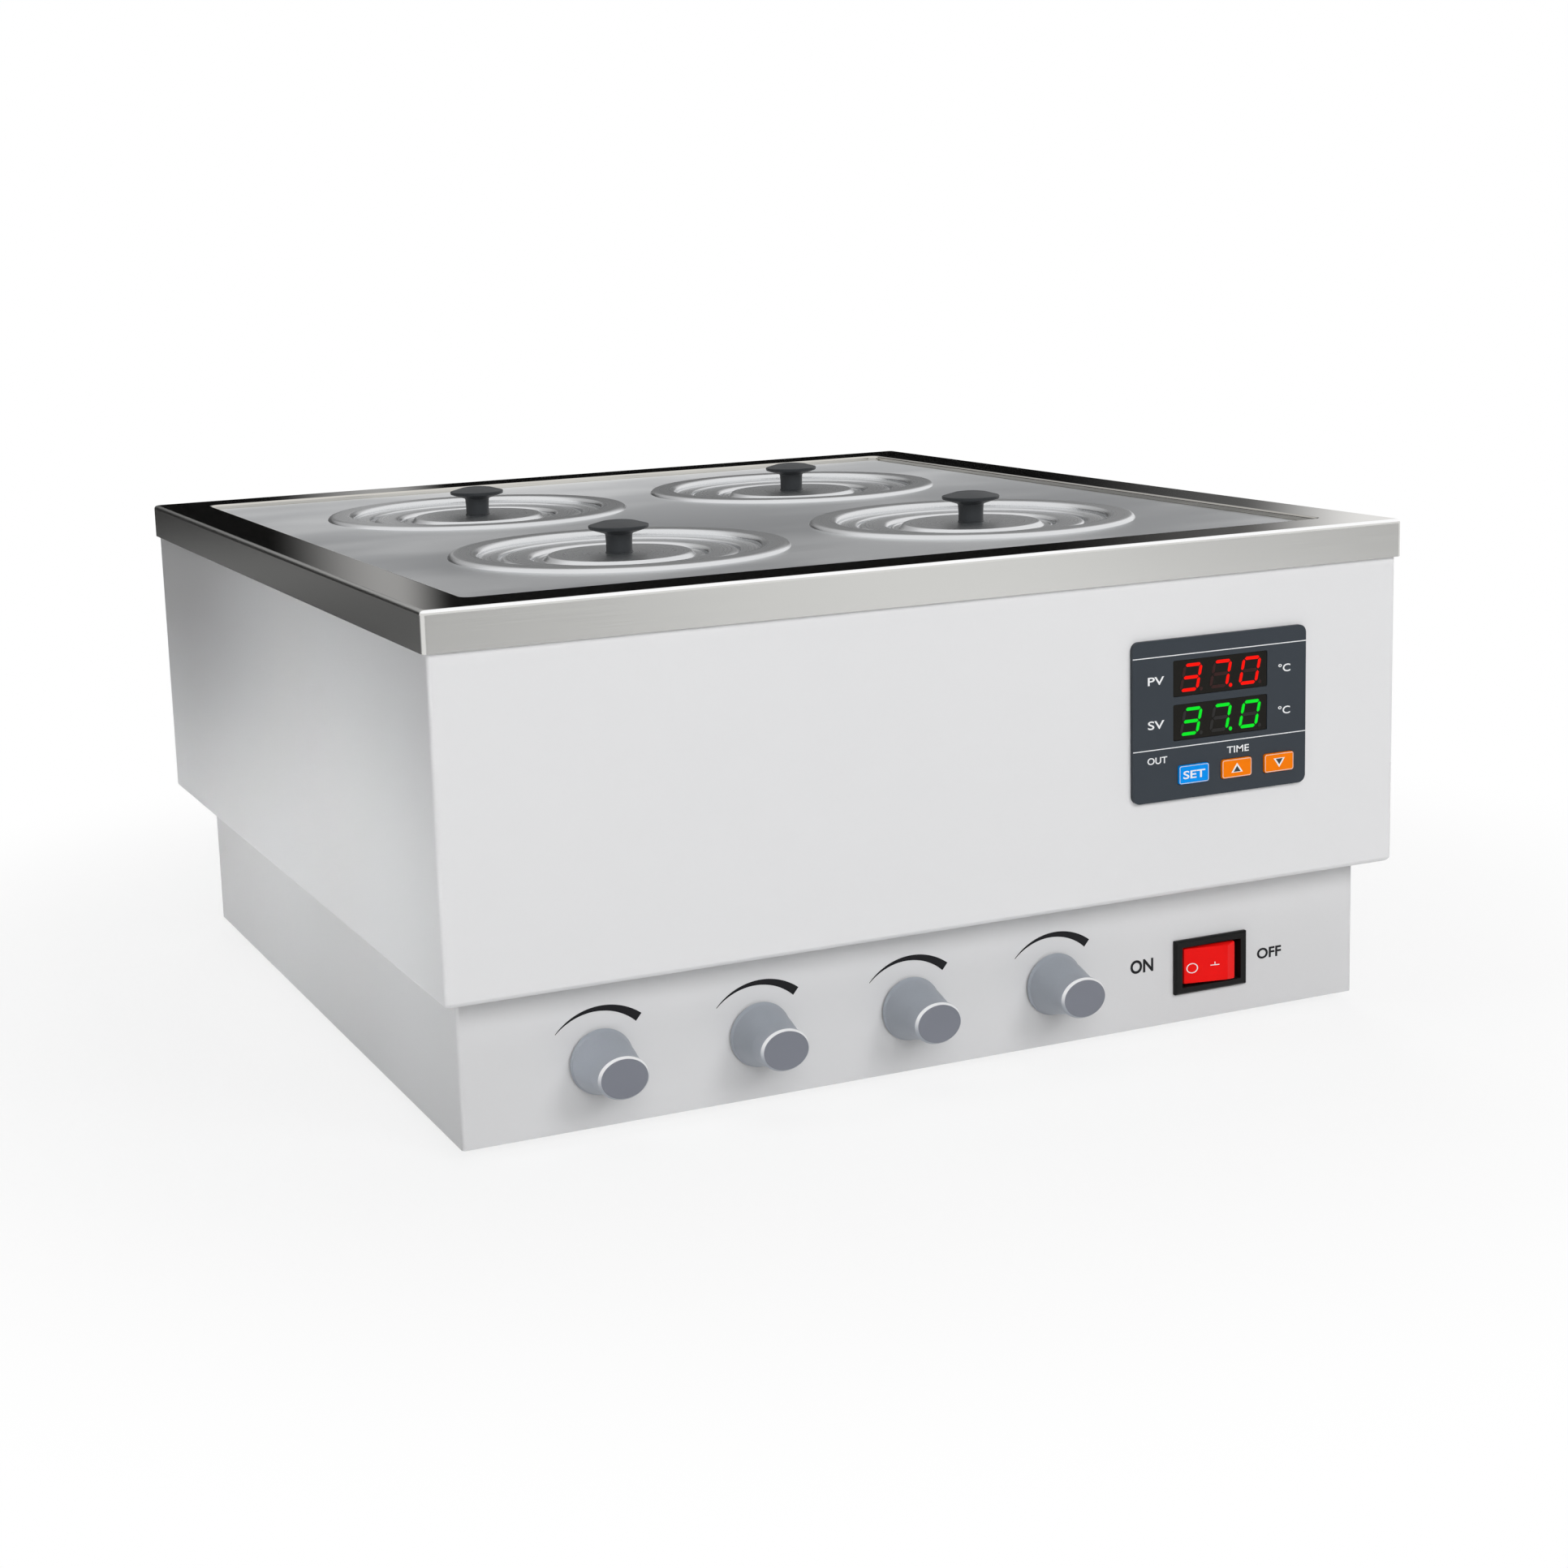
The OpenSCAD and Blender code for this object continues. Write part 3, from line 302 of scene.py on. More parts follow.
def ink(name, colour, roughness=0.45):
    """Printed ink whose cover is slightly uneven."""
    f = Finish(name)
    cover = f.grain(700, 2, 0.5)
    dark, light = shades(colour, 0.9, 1.0)
    return f.surface(Base_Color=f.mixed(cover, dark, light), Roughness=roughness + cover * 0.08,
                     Specular_IOR_Level=0.2)


def glowing(name, colour, strength):
    """Lit segment: its own light, a little uneven, in a dark lens."""
    f = Finish(name)
    spread = f.grain(260, 1, 0.4)
    dark, light = shades(colour, 0.9, 1.0)
    return f.surface(Base_Color=shades(colour, 0.1, 1.0)[0], Roughness=0.4, Specular_IOR_Level=0.1,
                     Emission_Color=f.mixed(spread, dark, light), Emission_Strength=strength)


# Surfaces

def bent_line(corners, radii, steps=5, guard=0.12):
    """A broken line with its corners bent to arcs.

    Each arc turns about its centre from one tangent point to the other, by equal angles. A guard
    point just outside each end keeps the flats beside it flat. Columns after the first two are
    carried along in proportion.
    """
    corners = np.asarray(corners, float)
    out = [corners[:1]]
    for before, here, after, radius in zip(corners, corners[1:], corners[2:], radii):
        to_before = before - here
        to_after = after - here
        length_a = np.linalg.norm(to_before[:2])
        length_b = np.linalg.norm(to_after[:2])
        cosine = np.dot(to_before[:2], to_after[:2]) / (length_a * length_b)
        half = math.acos(np.clip(cosine, -1, 1)) / 2
        reach = radius / math.tan(half)
        start = here + to_before * reach / length_a
        end = here + to_after * reach / length_b
        middle = to_before[:2] / length_a + to_after[:2] / length_b
        centre = here[:2] + middle / np.linalg.norm(middle) * radius / math.sin(half)
        turn = math.pi - 2 * half
        k = np.linspace(0, 1, steps + 1)[:, None]
        arc = start + (end - start) * k
        arc[:, :2] = centre + (np.sin((1 - k) * turn) * (start[:2] - centre)
                               + np.sin(k * turn) * (end[:2] - centre)) / math.sin(turn)
        out += [(start + to_before * guard / length_a)[None], arc,
                (end + to_after * guard / length_b)[None]]
    out.append(corners[-1:])
    return np.concatenate(out)


def rounded_rings(half_w, half_d, radius, height, steps=6, guard=0.12):
    """Rounded rectangles, one per row: quarter circles at the corners with straight sides."""
    w, d, r, h = (np.asarray(a, float)[:, None] for a in (half_w, half_d, radius, height))
    x, y = [], []
    for corner, (sx, sy) in enumerate(((1, 1), (-1, 1), (-1, -1), (1, -1))):
        turn = np.linspace(corner, corner + 1, steps + 1)[None] * math.pi / 2
        arc_x = sx * (w - r) + r * np.cos(turn)
        arc_y = sy * (d - r) + r * np.sin(turn)
        ahead = np.array([-math.sin(turn[0, 0]), math.cos(turn[0, 0])])
        onward = np.array([-math.sin(turn[0, -1]), math.cos(turn[0, -1])])
        x += [arc_x[:, :1] - ahead[0] * guard, arc_x, arc_x[:, -1:] + onward[0] * guard]
        y += [arc_y[:, :1] - ahead[1] * guard, arc_y, arc_y[:, -1:] + onward[1] * guard]
    x = np.hstack(x)
    y = np.hstack(y)
    return np.stack([x, y, np.broadcast_to(h, x.shape)], -1)


def line_rings(line, corner_steps=6, guard=0.12):
    """Rounded rectangles from a line's columns: half width, height, half depth, corner radius."""
    return rounded_rings(line[:, 0], line[:, 2], line[:, 3], line[:, 1], corner_steps, guard)


def inset_rings(half_w, half_d, rows, radii, steps=5):
    """Rounded rectangles along a bent line of (offset from the edge, height, corner radius)."""
    return line_rings(bent_line([[half_w + o, h, half_d + o, r] for o, h, r in rows], radii, steps))


def slab_rings(half_w, half_h, corner, bottom, top, edge, steps=4):
    """Rounded slab: its foot, its sides, its rounded upper edge and the rim of its face."""
    inner = max(corner - edge * 3, 0.05)
    rows = [(0, bottom, corner), (0, top, corner), (-edge * 3, top, inner)]
    return inset_rings(half_w, half_h, rows, [edge], steps)


def flat_crown(outer, inner, rise, base, steps=22):
    """Pressed crown from one radius to another: flat on top, and steep near both edges.

    With u from 1 at the outer edge to -1 at the inner one, its height is rise * (1 - u^8). The
    steps follow a sine, so they are closest at the edges.
    """
    u = np.sin(np.linspace(math.pi / 2, -math.pi / 2, steps + 1))
    return np.stack([(outer + inner) / 2 + (outer - inner) / 2 * u, base + rise * (1 - u ** 8)], -1)


def lathe(profile, segments=96):
    """Turned surface: the profile's (radius, height) points carried round a circle."""
    profile = np.asarray(profile, float)
    turn = np.linspace(0, 2 * math.pi, segments, endpoint=False)[None]
    height = np.broadcast_to(profile[:, 1:2], (len(profile), segments))
    return np.stack([profile[:, :1] * np.cos(turn), profile[:, :1] * np.sin(turn), height], -1)


def prism(outline, back, front):
    """Straight prism on an outline of (x, y) points, between two heights."""
    outline = np.asarray(outline, float)
    return np.stack([np.column_stack([outline, np.full(len(outline), h)]) for h in (back, front)])


def bar(half_w, half_h, back, front):
    """Straight prism on a rectangle about the origin."""
    return prism([[-half_w, -half_h], [half_w, -half_h], [half_w, half_h], [-half_w, half_h]],
                 back, front)


def upright(points, centre):
    """Local points set on a centre, with their height along Z."""
    return points + np.asarray(centre, float)


def facing_front(points, centre):
    """Local points turned so that their height points to the front."""
    return np.stack([points[..., 0], -points[..., 2], points[..., 1]], -1) + np.asarray(centre, float)


class Shape:
    """Points and faces that become one mesh."""

    def __init__(self):
        self.points = []
        self.faces = []
        self.count = 0

    def grid(self, points, wrap_rows=False, wrap_columns=True, caps=(False, False)):
        """A grid of quads; caps close its first and last row with one face each."""
        rows, columns = points.shape[:2]
        first = self.count
        self.points.append(points.reshape(-1, 3))
        self.count += rows * columns
        r, c = np.meshgrid(np.arange(rows if wrap_rows else rows - 1),
                           np.arange(columns if wrap_columns else columns - 1), indexing="ij")
        down = (r + 1) % rows
        right = (c + 1) % columns
        quads = np.stack([r * columns + c, r * columns + right, down * columns + right,
                          down * columns + c], -1).reshape(-1, 4) + first
        self.faces += quads.tolist()
        ring = np.arange(columns) + first
        if caps[0]:
            self.faces.append(ring[::-1].tolist())
        if caps[1]:
            self.faces.append((ring + (rows - 1) * columns).tolist())
        return self

    def solid(self, points):
        """A grid that is closed by a face at each end."""
        return self.grid(points, caps=(True, True))

    def mesh(self, name, material, body, replaces=(), slot=None, smooth=40):
        """Makes the piece: doubles merged, faces turned outwards, edges sharp above an angle."""
        data = bpy.data.meshes.new(name)
        data.from_pydata((np.concatenate(self.points) * mm).tolist(), [], self.faces)
        work = bmesh.new()
        work.from_mesh(data)
        bmesh.ops.remove_doubles(work, verts=work.verts, dist=1e-6)
        bmesh.ops.dissolve_degenerate(work, edges=work.edges, dist=1e-7)
        bmesh.ops.recalc_face_normals(work, faces=work.faces)
        work.to_mesh(data)
        work.free()
        data.shade_smooth()
        data.set_sharp_from_angle(angle=math.radians(smooth))
        return add_piece(name, data, material, body, replaces)


def add_piece(name, data, material, body, replaces=()):
    """Links a mesh as a piece that rides on a body and stands for CAD nodes."""
    piece = bpy.data.objects.new(name, data)
    data.materials.clear()
    data.materials.append(material)
    bpy.context.scene.collection.objects.link(piece)
    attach(piece, body)
    if replaces:
        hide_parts(*replaces)
    return piece


def dress(material, *nodes):
    """Gives CAD nodes that keep their shape a better material."""
    for node in nodes:
        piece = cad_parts[node]
        if not piece.material_slots:
            piece.data.materials.append(material)
        for holder in piece.material_slots:
            holder.material = material


def node_box(node):
    """A node's lowest and highest corners at rest, in millimetres."""
    low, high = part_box(node)
    return np.array(low) / mm, np.array(high) / mm


# The frame's boxes from which the looks start

rim_low, rim_high = node_box("tank")
rim_centre = (rim_low + rim_high) / 2
rim_half = (rim_high - rim_low) / 2
rim_top = rim_high[2]
plate_low, plate_high = node_box("cover_plate")
casing_low, casing_high = node_box("upper_casing")
base_low = node_box("base_casing")[0]
panel_low, panel_high = node_box("panel_fascia")
display_low, display_high = node_box("led_displays")
switch_low, switch_high = node_box("rocker_housing")
knob_low, knob_high = node_box("speed_knob_1")
knob_axis = (knob_low[2] + knob_high[2]) / 2
place_centre = {tag: sum(node_box("outer_ring_" + tag)) / 2 for tag in places}


# Tank, casings and cover plate

def tank_piece():
    """Rim, ledge and tank as one bent sheet: its upper line inwards, its lower line back out."""
    foot = -skirt_height
    ledge = -ledge_below_rim
    floor = rim_low[2] + sheet - rim_top
    skirt_r, seat_r, tank_r = 1.8, 4, tank_corner
    upper = bent_line([[0, foot, skirt_r], [0, 0, skirt_r], [-flange_width, 0, seat_r],
                       [-flange_width, ledge, seat_r], [-wall_inset, ledge, tank_r],
                       [-wall_inset, floor, tank_r], [-wall_inset - floor_band, floor, tank_r]],
                      [1.5, 0.8, 0.5, 1.2, 6])
    lower = bent_line([[-sheet, foot, 1.2], [-sheet, -sheet, 1.2],
                       [-flange_width + sheet, -sheet, seat_r],
                       [-flange_width + sheet, ledge - sheet, seat_r],
                       [-wall_inset + sheet, ledge - sheet, tank_r],
                       [-wall_inset + sheet, floor - sheet, tank_r],
                       [-wall_inset - floor_band, floor - sheet, tank_r]],
                      [0.5, 0.5, 1.2, 0.6, 7], 3)
    line = np.concatenate([upper[::-1], lower])
    rings = rounded_rings(rim_half[0] + line[:, 0], rim_half[1] + line[:, 0], line[:, 2],
                          line[:, 1] + rim_top, 8)
    shape = Shape().solid(upright(rings, (0, rim_centre[1], 0)))
    shape.mesh("rim_and_tank", rim_steel(), "root", ["tank"], "stainless_rim")


def upper_casing_piece():
    """Upper casing as one folded sheet: floor, bent edge, walls and the lip under the rim."""
    half = (casing_high - casing_low) / 2
    centre = (casing_high + casing_low) / 2
    low, high = casing_low[2], casing_high[2]
    floor_reach, outer_r, inner_r = -60, 1.4, 0.6
    rows = [(floor_reach, low, outer_r), (0, low, outer_r), (0, high, outer_r),
            (-lip_width, high, tank_corner), (-lip_width, high - sheet, tank_corner),
            (-sheet, high - sheet, inner_r), (-sheet, low + sheet, inner_r),
            (floor_reach, low + sheet, inner_r)]
    rings = inset_rings(half[0], half[1], rows, [1.7, 0.8, 0.3, 0.3, 0.4, 0.5])
    shape = Shape().solid(upright(rings, (0, centre[1], 0)))
    shape.mesh("upper_casing_shell", coat, "root", ["upper_casing"], "painted_steel")


def quarter_outline(half_w, half_d, corner, inset, count=28):
    """Quarter of a rounded plate, from the middle of its far side to the middle of its right side.

    The straight parts and the quarter circle are sampled evenly, then the two middle lines follow.
    """
    w, d = half_w - inset, half_d - inset
    r = max(corner - inset, 0.05)
    k = np.linspace(0, 1, count)
    turn = np.linspace(math.pi / 2, 0, 7)
    x = np.concatenate([k * (w - r), w - r + r * np.cos(turn), np.full(count, w)])
    y = np.concatenate([np.full(count, d), d - r + r * np.sin(turn), (1 - k) * (d - r)])
    inner_x = np.concatenate([(1 - k[1:]) * w, np.zeros(count - 2)])
    inner_y = np.concatenate([np.zeros(count - 1), k[1:-1] * d])
    return np.stack([np.concatenate([x, inner_x]), np.concatenate([y, inner_y])], -1), len(x)


def cover_plate_piece():
    """Cover plate in four quarters, each a sheet between its outline and its place's round hole.

    A point of the outline meets the hole's edge on the straight line to the hole's centre. Guard
    points near both keep the sheet's shading flat.
    """
    half = (plate_high - plate_low) / 2
    middle = (plate_high + plate_low) / 2
    low, high = plate_low[2], plate_high[2]
    ring_r = (node_box("outer_ring_front_left")[1] - place_centre["front_left"])[0]
    hole_r = ring_r - crown_widths["outer_ring"] + ring_thickness + seat_play
    corner = 3.4
    shape = Shape()
    for tag in places:
        away = place_centre[tag] - middle
        sx, sy = np.sign(away[0]), np.sign(away[1])
        centre = np.abs(away[:2])
        face, outer_count = quarter_outline(half[0], half[1], corner, 0.35)
        edge = quarter_outline(half[0], half[1], corner, 0.1)[0]
        side = quarter_outline(half[0], half[1], corner, 0.0)[0]
        toward = face - centre
        toward /= np.linalg.norm(toward, axis=1)[:, None]
        rows = [(face, high), (face - toward * 0.3, high), (centre + toward * (hole_r + 0.6), high),
                (centre + toward * (hole_r + 0.3), high), (centre + toward * hole_r, high - 0.3),
                (centre + toward * hole_r, low), (face, low)]
        walls = [(face, high), (edge, high - 0.1), (side, high - 0.35), (side, low), (face, low)]
        for part, wrap in ((rows, True), (walls, False)):
            points = np.stack([np.column_stack([xy, np.full(len(xy), z)]) for xy, z in part])
            if not wrap:
                points = points[:, :outer_count]
            points = points * (sx, sy, 1) + (middle[0], middle[1], 0)
            shape.grid(points, wrap_columns=wrap)
    shape.mesh("cover_sheet", cover_steel(), "cover_plate", ["cover_plate"], "stainless_sheet")


# Rings, lids and their knobs

def ring_profile(outer, crown, rise, base, hole):
    """Closed outline of a pressed ring: crown, locating step, ledge, and back below."""
    wall = outer - crown
    ledge = base - ring_drop
    foot = base - ring_step
    top = flat_crown(outer, wall, rise, base)
    step = bent_line([[wall, base], [wall, ledge], [hole, ledge], [hole, foot],
                      [wall + ring_thickness, foot], [wall + ring_thickness, base - 0.2]],
                     [0.35, 0.3, 0.2, 0.6], 3, 0.05)
    below = flat_crown(outer - 1, wall + 1, max(rise - ring_thickness, 0.05), base)
    return np.concatenate([top, step[1:], below[::-1]])


def place_pieces(tag):
    """The three nested rings of a place, its lid and the lid's knob."""
    steel = spun_steel(tag)
    x, y = place_centre[tag][:2]
    base = plate_high[2]
    radii = []
    for kind in ("outer_ring", "middle_ring", "inner_ring", "lid"):
        low, high = node_box(kind + "_" + tag)
        radii.append((high[0] - low[0]) / 2)
    holes = [radii[1] - crown_widths["middle_ring"] + ring_thickness + seat_play,
             radii[2] - crown_widths["inner_ring"] + ring_thickness + seat_play,
             radii[3] - lid_lip_inset + seat_play]
    for kind, outer, hole in zip(crown_widths, radii, holes):
        rings = lathe(ring_profile(outer, crown_widths[kind], crown_rises[kind], base, hole), 160)
        shape = Shape().grid(upright(rings, (x, y, 0)), wrap_rows=True)
        shape.mesh("pressed_" + kind + "_" + tag, steel, kind + "_" + tag, [kind + "_" + tag],
                   "ring_steel")
        base -= ring_drop
    lid_piece(tag, steel, radii[3], base)
    lid_knob_piece(tag, base)


def lid_piece(tag, steel, outer, base):
    """Lid: raised disc inside a bent shoulder, a flat edge with a bead, and a locating lip below."""
    x, y = place_centre[tag][:2]
    raised = base + ring_thickness + lid_rise
    bead = np.linspace(math.radians(120), math.radians(-110), 12)
    bead_r = 0.7
    bead_line = np.stack([outer - bead_r + bead_r * np.cos(bead), base + 0.7 + bead_r * np.sin(bead)], -1)
    lip = outer - lid_lip_inset
    lip_depth = 3
    panel = bent_line([[stud_radius, raised], [outer - 5.2, raised],
                       [outer - 3.4, base + ring_thickness],
                       [outer - 1.4, base + ring_thickness]], [1.6, 1.0], 6, 0.05)
    below = [[outer - 1.4, base], [lip, base], [lip, base - lip_depth],
             [lip - ring_thickness, base - lip_depth], [lip - ring_thickness, base],
             [outer - 6.4, raised - ring_thickness], [stud_radius, raised - ring_thickness]]
    profile = np.concatenate([panel, bead_line, below])
    shape = Shape().grid(upright(lathe(profile, 144), (x, y, 0)), wrap_rows=True)
    shape.mesh("lid_disc_" + tag, steel, "lid_" + tag, ["lid_" + tag], "ring_steel")


def lid_knob_piece(tag, base):
    """Mushroom knob: domed cap, hollow throat and straight stem, with its stud and nut below.

    The top falls by 0.5 mm with the square of the radius, as far as where the brim starts.
    """
    x, y = place_centre[tag][:2]
    low, high = node_box("lid_knob_" + tag)
    cap = (high[0] - low[0]) / 2
    top = high[2]
    stem, stud, brim_start, dome = 4.9, stud_radius, 6.4, 0.5
    base += lid_rise
    reach = np.linspace(0, brim_start, 7)
    crown = np.stack([reach, top - dome * (reach / brim_start) ** 2], -1)
    edge = bent_line([[brim_start, top - dome], [cap - 0.1, top - 1.9], [cap - 0.3, top - 3.1],
                      [stem + 0.2, top - 5.0], [stem, top - 8.5]], [0.4, 0.4, 0.9], 4, 0.05)
    foot = [[stem, base + 1.5], [stem + 0.3, base + 1.2], [stem + 0.3, base + 1.0],
            [stud, base + 1.0], [stud, base - 4], [0, base - 4]]
    profile = np.concatenate([crown[:-1], edge, foot])
    shape = Shape().grid(upright(lathe(profile, 72), (x, y, 0)))
    nut = lathe([[stud, base - 0.05], [4.1, base - 0.05], [4.5, base - 0.4], [4.5, base - 2.6],
                 [4.1, base - 3.0], [stud, base - 3.0]], 6)
    shape.grid(upright(nut, (x, y, 0)), wrap_rows=True)
    shape.mesh("mushroom_knob_" + tag, charcoal, "lid_" + tag, ["lid_knob_" + tag], "knob_charcoal")


# Controls on the base

def speed_knob_piece(number):
    """Speed knob: thin foot, bell that narrows to an oval grip, and a chamfer that carries a painted
    highlight.

    With k from 0 at the foot to 1 at the grip, the radius falls from the skirt's to the grip's by
    1 - k^1.6. The height across shrinks to 0.81 of the width, by k^0.8.
    """
    name = "speed_knob_" + str(number)
    low, high = node_box(name)
    centre = (low + high) / 2
    skirt = (high[0] - low[0]) / 2
    length = high[1] - low[1]
    grip, bore_r, bore_depth, foot_height, bell_height = 9.2, 7.5, 5.2, 1.4, 12.3
    k = np.linspace(0, 1, 16)
    bell = np.stack([grip + (skirt - 1.0 - grip) * (1 - k ** 1.6), foot_height + bell_height * k], -1)
    foot = [[bore_r, 0], [skirt - 0.6, 0], [skirt - 0.4, 0.3], [skirt - 0.6, 0.9],
            [skirt - 1.0, foot_height]]
    cap = bent_line([[grip, foot_height + bell_height], [grip, length - 1.2], [grip - 0.9, length - 0.1],
                     [grip - 3, length]], [0.2, 0.15], 3, 0.05)[1:]
    points = lathe(np.concatenate([foot, bell[1:], cap]), 144)
    points[..., 1] *= 1 - 0.19 * np.clip((points[..., 2] - foot_height) / bell_height, 0, 1) ** 0.8
    bore = lathe([[bore_r, bore_depth], [bore_r, 0]], 144)
    shape = Shape().solid(facing_front(np.concatenate([bore, points]), (centre[0], high[1], centre[2])))
    shape.mesh("dial_knob_" + str(number), knob_grey, name, [name], "knob_grey", 30)


def swoosh_piece(number):
    """Arc printed over a speed knob, from a thin tip on its left to a broad end on its right.

    With k from 0 to 1 along it, its breadth is 0.2 + 3.1 * k^1.1 about a circle below the knob's axis.
    """
    low, high = node_box("speed_knob_" + str(number))
    centre = (low + high) / 2
    arc_r, arc_drop = 22.3, 3.9
    k = np.linspace(0, 1, 41)
    turn = np.radians(136 + (50 - 136) * k)
    breadth = 0.2 + 3.1 * k ** 1.1
    inner = arc_r - breadth * 0.5
    outer = arc_r + breadth * 0.5
    rim = np.concatenate([np.stack([outer * np.cos(turn), outer * np.sin(turn)], -1),
                          np.stack([inner * np.cos(turn), inner * np.sin(turn)], -1)[::-1]])
    rim[:, 1] -= arc_drop
    arc = prism(rim, -0.02, ink_height)
    shape = Shape().solid(facing_front(arc, (centre[0], base_low[1], centre[2])))
    shape.mesh("rising_arc_" + str(number), black_ink, "root", slot="black_plastic")


def switch_pieces():
    """Bezel with its body and pocket, and the bevelled rocker that is tipped to its left.

    The rocker's ends lean with its height: its right end is drawn in by up to 0.32 of its distance
    from the pivot, and its left end is let out by 0.1 of it. Then all of it turns by the tilt.
    """
    x = (switch_low[0] + switch_high[0]) / 2
    z = (switch_low[2] + switch_high[2]) / 2
    half_w, half_h, body_back, pocket_back = 16, 10.4, -20, -7.5
    body_w, body_h = half_w - 1.7, half_h - 1.5
    open_w, open_h = 13.0, 7.7
    rows = [[body_w, body_back, body_h, 0.5], [body_w, 0, body_h, 0.5], [half_w, 0, half_h, 0.35],
            [half_w, 1.2, half_h, 0.35], [half_w - 0.7, 2.0, half_h - 0.7, 0.3],
            [open_w, 2.0, open_h, 0.3], [open_w, pocket_back, open_h, 0.3]]
    line = bent_line(rows, [0.15, 0.1, 0.3, 0.25, 0.2], 3, 0.05)
    shape = Shape().solid(facing_front(line_rings(line, 4, 0.05), (x, base_low[1], z)))
    shape.mesh("switch_bezel", black_plastic, "root", ["rocker_housing"], "black_plastic")
    tilt = math.radians(10)
    face = 4.6
    rows = [[11.2, -3.0, 7.2, 0.5], [11.2, 2.6, 7.2, 0.5], [9.9, face, 6.7, 0.5], [7.0, face, 3.7, 0.3]]
    rocker = facing_front(line_rings(bent_line(rows, [0.2, 0.25], 3, 0.05), 4, 0.05), (0, 0, 0))
    slope = np.clip((-rocker[..., 1] - 2.0) / 2.6, 0, 1)
    rocker[..., 0] *= np.where(rocker[..., 0] > 0, 1 - 0.32 * slope, 1 + 0.1 * slope)
    pin = lathe([[1.5, -8.4], [1.5, 8.4]], 24)
    spin = np.array([[math.cos(tilt), math.sin(tilt), 0], [-math.sin(tilt), math.cos(tilt), 0], [0, 0, 1]])
    pivot = (x, base_low[1] + 2, z)
    shape = Shape().solid(rocker @ spin.T + pivot).solid(pin @ spin.T + pivot)
    shape.mesh("rocker_cap", rocker_red, "power_rocker", ["power_rocker"], "rocker_red")
    ring = lathe([[1.62, 0], [1.95, 0], [1.95, ink_height], [1.62, ink_height]], 48) * (1.2, 1, 1)
    marks = Shape().grid(facing_front(ring, (-7.6, -face, -0.9)), wrap_rows=True)
    marks.solid(facing_front(bar(1.8, 0.16, 0, ink_height), (1.6, -face, -0.5)))
    marks.solid(facing_front(bar(0.16, 0.6, 0, ink_height), (1.6, -face, 0.1)))
    marks.points = [p @ spin.T + pivot for p in marks.points]
    marks.mesh("rocker_marks", white_ink, "power_rocker", slot="knob_grey")


# Print on the panel and on the base

def words(name, text, height, centre, material, body, width, bold):
    """Printed word: a text's outlines as a thin raised print, scaled to a height and a width."""
    curve = bpy.data.curves.new(name, "FONT")
    curve.body = text
    curve.extrude = 0.05
    curve.offset = bold
    curve.resolution_u = 5
    holder = bpy.data.objects.new(name + "_outline", curve)
    bpy.context.scene.collection.objects.link(holder)
    depsgraph = bpy.context.evaluated_depsgraph_get()
    depsgraph.update()
    data = bpy.data.meshes.new_from_object(holder.evaluated_get(depsgraph))
    bpy.data.objects.remove(holder)
    count = len(data.vertices)
    points = np.empty(count * 3)
    data.vertices.foreach_get("co", points)
    points = points.reshape(-1, 3)
    low, high = points.min(0), points.max(0)
    local = (points - (low + high) / 2) * (np.array([width, height, ink_height]) / (high - low))
    placed = facing_front(local, centre) * mm
    data.vertices.foreach_set("co", placed.ravel())
    data.update()
    return add_piece(name, data, material, body)


# Each segment of a digit from (x, y) to (x, y), as parts of the digit's width and height
segment_layout = {"a": (0, 1, 1, 1), "b": (1, 1, 1, 0.5), "c": (1, 0.5, 1, 0), "d": (0, 0, 1, 0),
                  "e": (0, 0.5, 0, 0), "f": (0, 1, 0, 0.5), "g": (0, 0.5, 1, 0.5)}
lit_segments = ("abcdg", "abc", "abcdef")


def segment_outline(key, width, height, thick, gap=0.3):
    """Six-sided segment between two ends of the digit's skeleton, with pointed ends."""
    x0, y0, x1, y1 = segment_layout[key]
    start = np.array([x0 * width, y0 * height])
    end = np.array([x1 * width, y1 * height])
    run = (end - start) / np.linalg.norm(end - start)
    side = np.array([-run[1], run[0]]) * thick / 2
    start = start + run * gap
    end = end - run * gap
    return np.array([start, start + run * thick / 2 + side, end - run * thick / 2 + side, end,
                     end - run * thick / 2 - side, start + run * thick / 2 - side])


def readout(name, level, lit, unlit):
    """Three slanted digits with their points: lit segments in one piece, the dark ones in another.

    The slant moves each point to the right by 0.21 of its height above the digit's foot.
    """
    width, height, thick, slant, pitch, first, glow = 6.9, 9.0, 1.2, 0.21, 12.75, 3.3, 0.08
    left = (panel_low[0] + panel_high[0]) / 2 - 20.25
    face = panel_low[1] + 0.3
    shapes = {True: Shape(), False: Shape()}
    for i, on in enumerate(lit_segments):
        shift = np.array([first + pitch * i, -height / 2])
        for key in segment_layout:
            outline = segment_outline(key, width, height, thick) + shift
            outline[:, 0] += slant * (outline[:, 1] + height / 2)
            shapes[key in on].solid(facing_front(prism(outline, 0.0, glow), (left, face, level)))
        turn = np.linspace(0, 2 * math.pi, 17)[:-1]
        dot = np.stack([np.cos(turn), np.sin(turn)], -1) * 0.72 + shift + (width + 1.8, -0.1)
        shapes[i == 1].solid(facing_front(prism(dot, 0.0, glow), (left, face, level)))
    shapes[True].mesh(name + "_lit", lit, "root", slot="display_black")
    shapes[False].mesh(name + "_unlit", unlit, "root", slot="display_black")


